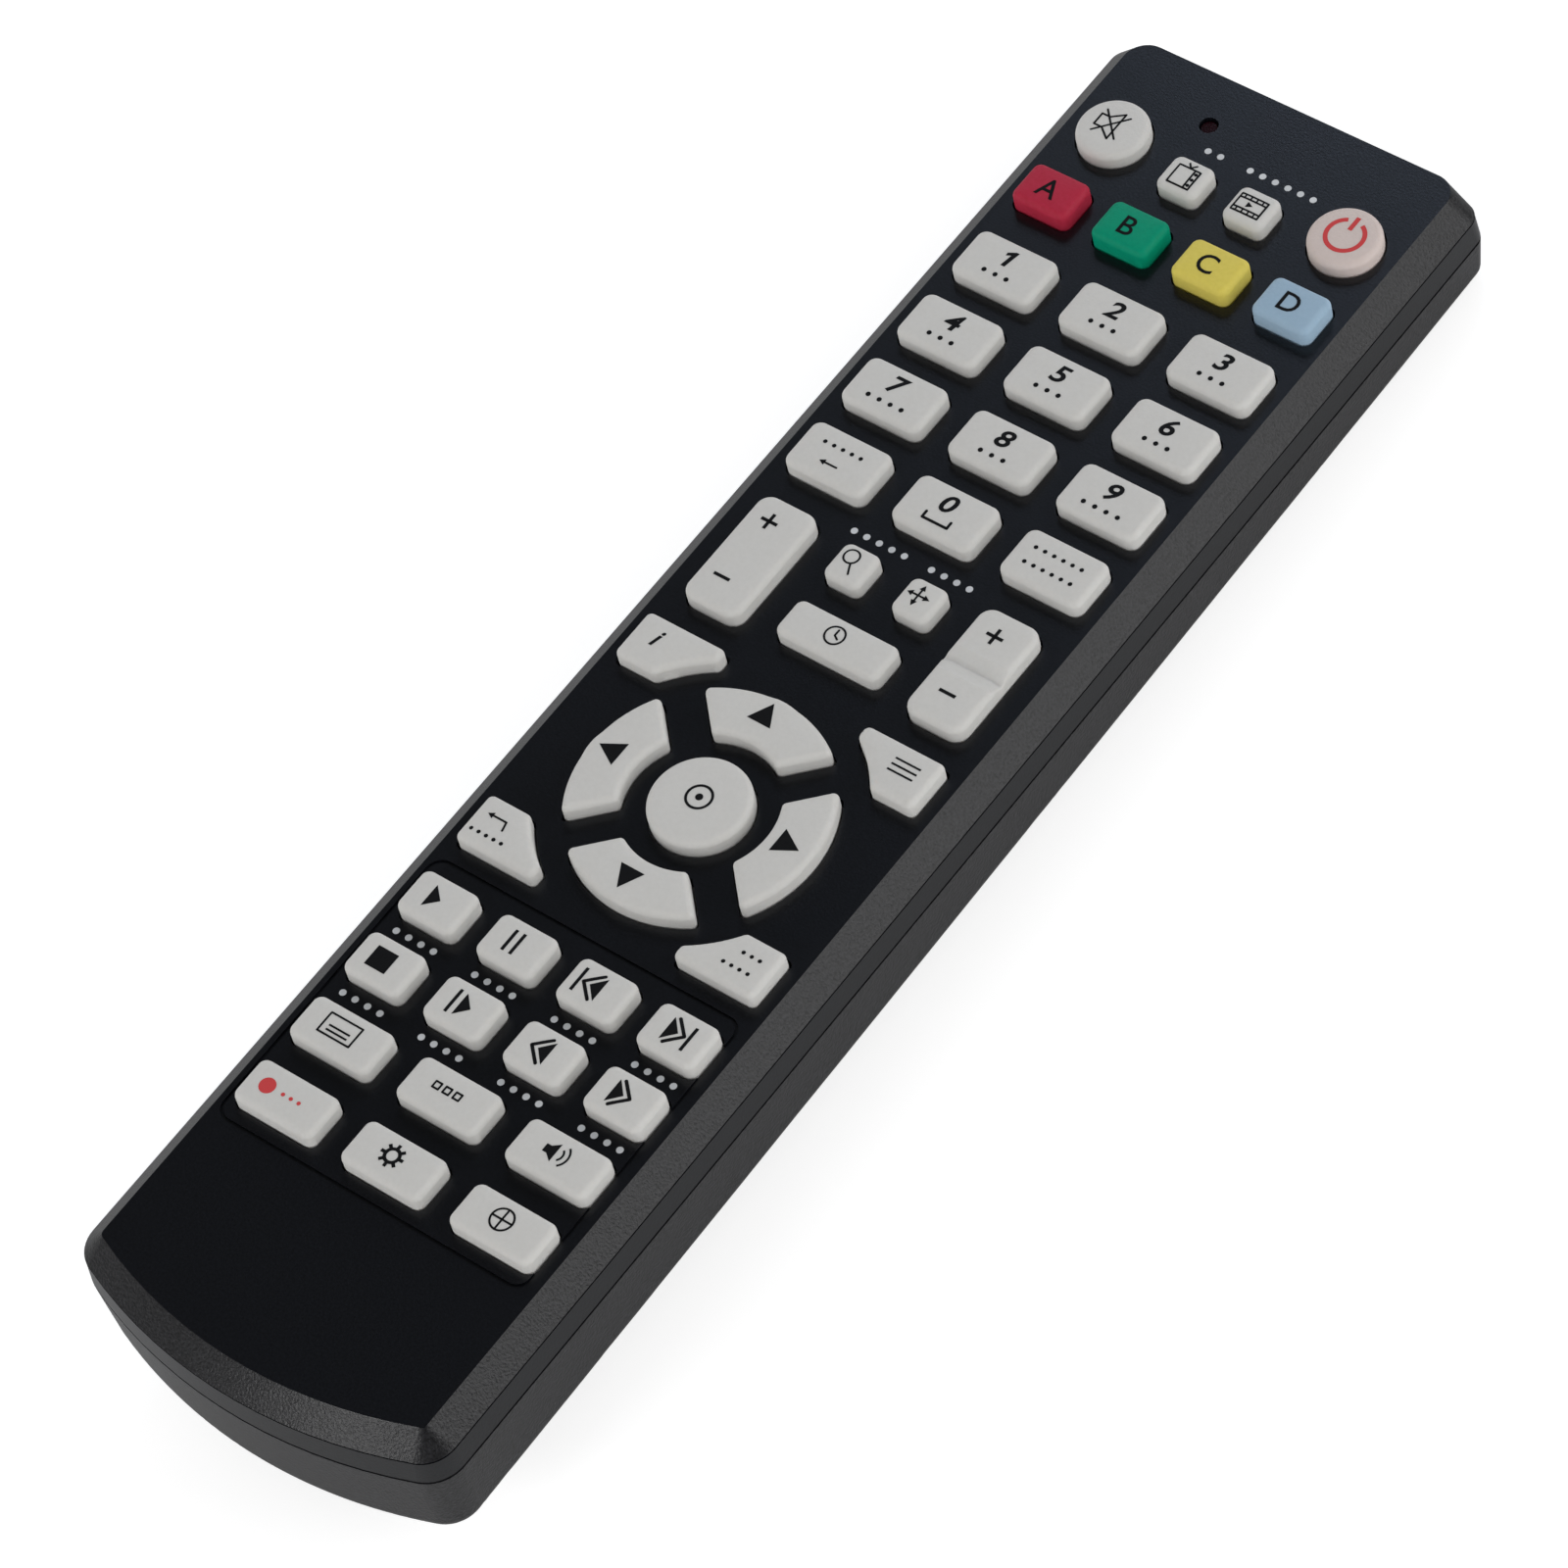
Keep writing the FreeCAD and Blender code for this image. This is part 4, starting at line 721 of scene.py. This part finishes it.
def source_marks():
    """Signs of the keys at the infrared end."""
    speaker = strokes([(-1.8, 0.85), (-0.7, 0.85), (0.8, 2.0), (0.8, -2.0), (-0.7, -0.85), (-1.8, -0.85)],
                      closed=True)
    cross = strokes([(-1.6, -1.75), (1.6, 1.75)]) + strokes([(-1.6, 1.65), (1.6, -1.65)])
    print_mark("mark_mute", speaker + cross, -16.5, 84.95, BLACK_INK, "key_mute")
    print_mark("mark_power", [arc(0, 0, 2.25, 0.55, 115, 310), bar(0, 1.85, 0.55, 2.0)], 16.3, 84.75,
               RED_INK, "key_power")
    screen = frame_of(2.9, 2.7) + strokes([(0.75, -1.35), (0.75, 1.35)])
    screen += strokes([(-0.5, 2.0), (0.0, 1.4), (0.5, 2.0)])
    screen += [dot(1.1, level, 0.22) for level in (-0.85, 0.0, 0.85)]
    print_mark("mark_television", screen, -4.55, 82.65, BLACK_INK, "key_television")
    film = frame_of(3.6, 2.5) + strokes([(-1.8, 0.72), (1.8, 0.72)]) + strokes([(-1.8, -0.72), (1.8, -0.72)])
    film += [bar(x, level, 0.2, 0.5) for x in (-1.2, -0.4, 0.4, 1.2) for level in (-0.98, 0.98)]
    film.append(triangle(0, 0, 0.8, 0.8))
    print_mark("mark_films", film, 4.5, 82.85, BLACK_INK, "key_films")


def middle_marks():
    """Signs of the rockers, the cursor ring and the keys round them."""
    thick = 0.42
    for node, x in (("rocker_volume", -16.2), ("rocker_channel", 15.15)):
        print_mark("plus_" + node, [bar(0, 0, 2.2, thick), bar(0, 0, thick, 2.2)], x, 19.4, BLACK_INK, node)
        print_mark("minus_" + node, [bar(0, 0, 2.2, thick)], x, 10.65, BLACK_INK, node)
    for name, x, y, turn in (("up", -0.5, -1.65, 90), ("left", -12.6, -14.3, 180),
                             ("right", 12.2, -14.35, 0), ("down", -0.6, -26.9, 270)):
        print_mark("mark_" + name, [triangle(0, 0, 2.9, 3.2, turn)], x, y, BLACK_INK, "key_" + name)
    print_mark("mark_search", [arc(-0.3, 0.65, 0.95, STROKE), *strokes([(0.15, -0.2), (0.75, -1.5)])],
               -4.9, 19.55, BLACK_INK, "key_search")
    ways = [shape for turn in (0, 90, 180, 270) for shape in arrow(0, 0, 1.45, turn)]
    print_mark("mark_zoom", ways, 4.45, 19.65, BLACK_INK, "key_zoom")
    print_mark("mark_recent", [arc(0, 0, 1.2, STROKE), *strokes([(0, 0.8), (0, 0), (0.55, -0.35)])],
               -0.3, 10.6, BLACK_INK, "key_recent")
    print_mark("mark_enter", [arc(0, 0, 1.5, STROKE * 1.3), dot(0, 0, 0.45)], -0.1, -14.3, BLACK_INK,
               "key_enter")
    print_mark("mark_info", [lettering("i", size=3.2, shear=0.3, weight=0.06)], -17.2, 0.2, BLACK_INK,
               "key_info")
    print_mark("mark_menu", [bar(0, level, 3.4, STROKE) for level in (-0.8, 0, 0.8)], 17.1, 0.1, BLACK_INK,
               "key_menu")
    print_mark("above_top_menu", row_of_dots(3, 1.1, 0.24), 17.6, -27.9, BLACK_INK, "key_top_menu")
    print_mark("below_top_menu", row_of_dots(4, 1.1, 0.24), 16.9, -29.9, BLACK_INK, "key_top_menu")
    print_mark("mark_return", arrow(1.2, 0.4, 2.5, 180) + strokes([(1.2, 0.4), (1.45, -0.7)]),
               -17.6, -28.3, BLACK_INK, "key_return")
    print_mark("below_return", row_of_dots(5, 1.05, 0.24), -17.3, -30.4, BLACK_INK, "key_return")


def nested(x, point):
    """A solid triangle inside an open angle whose tip lies at x; point is 1 towards +x, -1 towards -x."""
    angle = strokes([(x - 1.75 * point, 1.65), (x, 0), (x - 1.75 * point, -1.65)], BOLD)
    return [*angle, triangle(x - 1.6 * point, 0, 1.5, 3.1, 90 - 90 * point)]


def transport_marks():
    """Signs of the two rows of keys for playing."""
    play, stop = -39.82, -49.09
    first, second, third, fourth = ((index - 1.5) * PLAY_PITCH for index in range(4))
    for name, x, y, shapes in (
            ("play", first, play, [triangle(0, 0, 1.6, 3.0)]),
            ("pause", second, play, [bar(side * 0.55, 0, BOLD, 2.9) for side in (-1, 1)]),
            ("previous", third, play, [bar(-1.95, 0, BOLD, 3.2), *nested(-1.35, -1)]),
            ("next", fourth, play, [bar(1.95, 0, BOLD, 3.2), *nested(1.35, 1)]),
            ("stop", first, stop, [bar(0, 0, 2.8, 2.7)]),
            ("slow", second, stop, [bar(-0.95, 0, BOLD, 3.2), triangle(0.65, 0, 1.5, 3.0)]),
            ("rewind", third, stop, nested(-1.15, -1)),
            ("forward", fourth, stop, nested(1.15, 1))):
        print_mark("mark_" + name, shapes, x - 0.3, y, BLACK_INK, "key_" + name)


def lower_marks():
    """Plain signs of the two last rows of keys."""
    first, second = -58.4, -67.85
    print_mark("mark_record", [dot(0, 0, 1.0)], -17.5, -68.05, RED_INK, "key_record")
    print_mark("beside_record", row_of_dots(3, 1.1, 0.24), -14.2, -68.05, RED_INK, "key_record")
    print_mark("mark_subtitle", [*frame_of(4.4, 2.6), bar(0, -0.1, 2.9, STROKE), bar(0, -0.7, 2.9, STROKE)],
               -15.2, first, BLACK_INK, "key_subtitle")
    print_mark("mark_mode", [shape for x in (-1.4, 0, 1.4) for shape in frame_of(0.8, 0.8, x)],
               -0.2, first, BLACK_INK, "key_mode")
    print_mark("mark_audio", [polygon((-1.7, -0.5), (-1.1, -0.5), (-0.2, -1.2), (-0.2, 1.2), (-1.1, 0.5),
                                      (-1.7, 0.5)),
                              arc(-0.2, 0, 0.9, STROKE, -50, 100), arc(-0.2, 0, 1.6, STROKE, -50, 100)],
               14.9, first, BLACK_INK, "key_audio")
    teeth = [bar(1.25 * math.cos(math.radians(turn)), 1.25 * math.sin(math.radians(turn)), 0.5, 0.4, turn)
             for turn in range(0, 360, 45)]
    print_mark("mark_setup", [arc(0, 0, 0.85, 0.4), *teeth], -0.2, second, BLACK_INK, "key_setup")
    print_mark("mark_address", [arc(0, 0, 1.35, STROKE), bar(0, 0, 2.7, STROKE), bar(0, 0, STROKE, 2.7)],
               14.9, second, BLACK_INK, "key_address")


def face_marks():
    """Rows of white dots beside the keys."""
    places = [("television", -4.7, 88.45, 2), ("films", 4.7, 88.45, 6), ("search", -4.9, 24.35, 5),
              ("zoom", 5.0, 24.35, 4)]
    under = ("play", "pause", "previous", "next", "stop", "slow", "rewind", "forward")
    for index, name in enumerate(under):
        row, column = divmod(index, 4)
        places.append((name, (column - 1.5) * PLAY_PITCH - 0.1, -44.35 - row * 9.3, 4))
    for name, x, y, count in places:
        print_mark("face_dots_" + name, row_of_dots(count, 1.75, 0.42), x, y, WHITE_INK)


digit_marks()
source_marks()
middle_marks()
transport_marks()
lower_marks()
face_marks()


# Floor, light and camera

def seen_rays(tree, gloss=1.0):
    """1 for camera and transmission rays, gloss for glossy rays, 0 for the others."""
    path = add(tree, "LightPath").outputs
    glossy = add(tree, "Math", {0: path["Is Glossy Ray"], 1: gloss}, operation="MULTIPLY")
    seen = add(tree, "Math", {0: path["Is Camera Ray"], 1: glossy.outputs[0]}, operation="MAXIMUM")
    seen = add(tree, "Math", {0: seen.outputs[0], 1: path["Is Transmission Ray"]}, operation="MAXIMUM")
    return seen.outputs[0]


def make_floor():
    """White paper that keeps the shadow: its own glow and the light on it make white together."""
    bm = bmesh.new()
    bmesh.ops.create_grid(bm, x_segments=1, y_segments=1, size=3.0)
    floor = piece_from("floor", bm, 30)
    made, tree, shader, place = blank("floor_white_paper")
    tone = mottled(tree, place, 400.0, colour("C0C0C0"), colour("C4C4C4"))
    tree.links.new(tone, shader.inputs["Base Color"])
    shader.inputs["Roughness"].default_value = 0.9
    shader.inputs["Emission Color"].default_value = (1, 1, 1, 1)
    glow = add(tree, "Math", {0: seen_rays(tree, 0.12), 1: 0.68}, operation="MULTIPLY")
    tree.links.new(glow.outputs[0], shader.inputs["Emission Strength"])
    floor.data.materials.append(made)


def make_world():
    """A white room with a dark ceiling; what the camera and the gloss see falls off sooner."""
    world = bpy.data.worlds.new("studio")
    bpy.context.scene.world = world
    world.use_nodes = True
    tree = world.node_tree
    tree.nodes.clear()
    height = add(tree, "SeparateXYZ", {"Vector": add(tree, "TexCoord").outputs["Generated"]}).outputs["Z"]
    lit = add(tree, "MapRange", {"Value": height, "From Min": 0.3, "From Max": 0.7, "To Min": 1.8,
                                 "To Max": 0.25})
    shown = add(tree, "MapRange", {"Value": height, "From Min": 0.0, "From Max": 0.16, "To Min": 1.0,
                                   "To Max": 0.06})
    level = add(tree, "Mix", {"Factor": seen_rays(tree), "A": lit.outputs[0], "B": shown.outputs[0]},
                data_type="FLOAT")
    sky = add(tree, "Background", {"Color": (1, 1, 1, 1), "Strength": level.outputs["Result"]})
    add(tree, "OutputWorld", {"Surface": sky.outputs[0]})


def softbox(name, toward, distance, side, watts, tint="FFFFFF"):
    """A square lamp behind white cloth, in a direction of the housing's frame, aimed at its middle."""
    lamp = bpy.data.lights.new(name, "AREA")
    lamp.shape = "SQUARE"
    lamp.size = side
    lamp.energy = watts
    lamp.color = colour(tint)[:3]
    obj = bpy.data.objects.new(name, lamp)
    bpy.context.scene.collection.objects.link(obj)
    spot = HOUSING @ (Vector(toward).normalized() * distance)
    turn = (ORIGIN - spot).to_track_quat("-Z", "Y")
    obj.matrix_world = Matrix.Translation(spot) @ turn.to_matrix().to_4x4()


def make_camera():
    """Found from the photograph by fitting the key grid: angles in degrees, lengths in millimetres."""
    azimuth, elevation, roll = (math.radians(angle) for angle in (50.417, 53.411, -16.147))
    distance, target = 794.67, Vector((5.644, -7.114, 0))
    back = Vector((math.sin(azimuth) * math.cos(elevation), -math.cos(azimuth) * math.cos(elevation),
                   math.sin(elevation)))
    right = Vector((math.cos(azimuth), math.sin(azimuth), 0))
    up = back.cross(right)
    side = right * math.cos(roll) + up * math.sin(roll)
    above = up * math.cos(roll) - right * math.sin(roll)
    place = Matrix((side, above, back)).transposed().to_4x4()
    place.translation = (target + back * distance) * MM
    lens = bpy.data.cameras.new("camera")
    lens.sensor_width = 36.0
    lens.lens = 168.4
    camera = bpy.data.objects.new("camera", lens)
    bpy.context.scene.collection.objects.link(camera)
    camera.matrix_world = HOUSING @ place
    bpy.context.scene.camera = camera


make_floor()
make_world()
# The flat face mirrors the dark ceiling to the camera. The first two lamps stand where the bevels
# mirror them, and the third gives the face a faint blue sheen that fades towards the near end.
softbox("softbox_right", (0.774, 0.38, 0.487), distance=1.3, side=0.75, watts=4.6)
softbox("softbox_near", (-0.12, -0.9, 0.42), distance=1.3, side=0.3, watts=3.2)
softbox("softbox_far", (-0.40, 0.68, 0.61), distance=1.5, side=0.4, watts=1.85, tint="D2E3FF")
make_camera()
bpy.context.scene.view_settings.view_transform = "Standard"
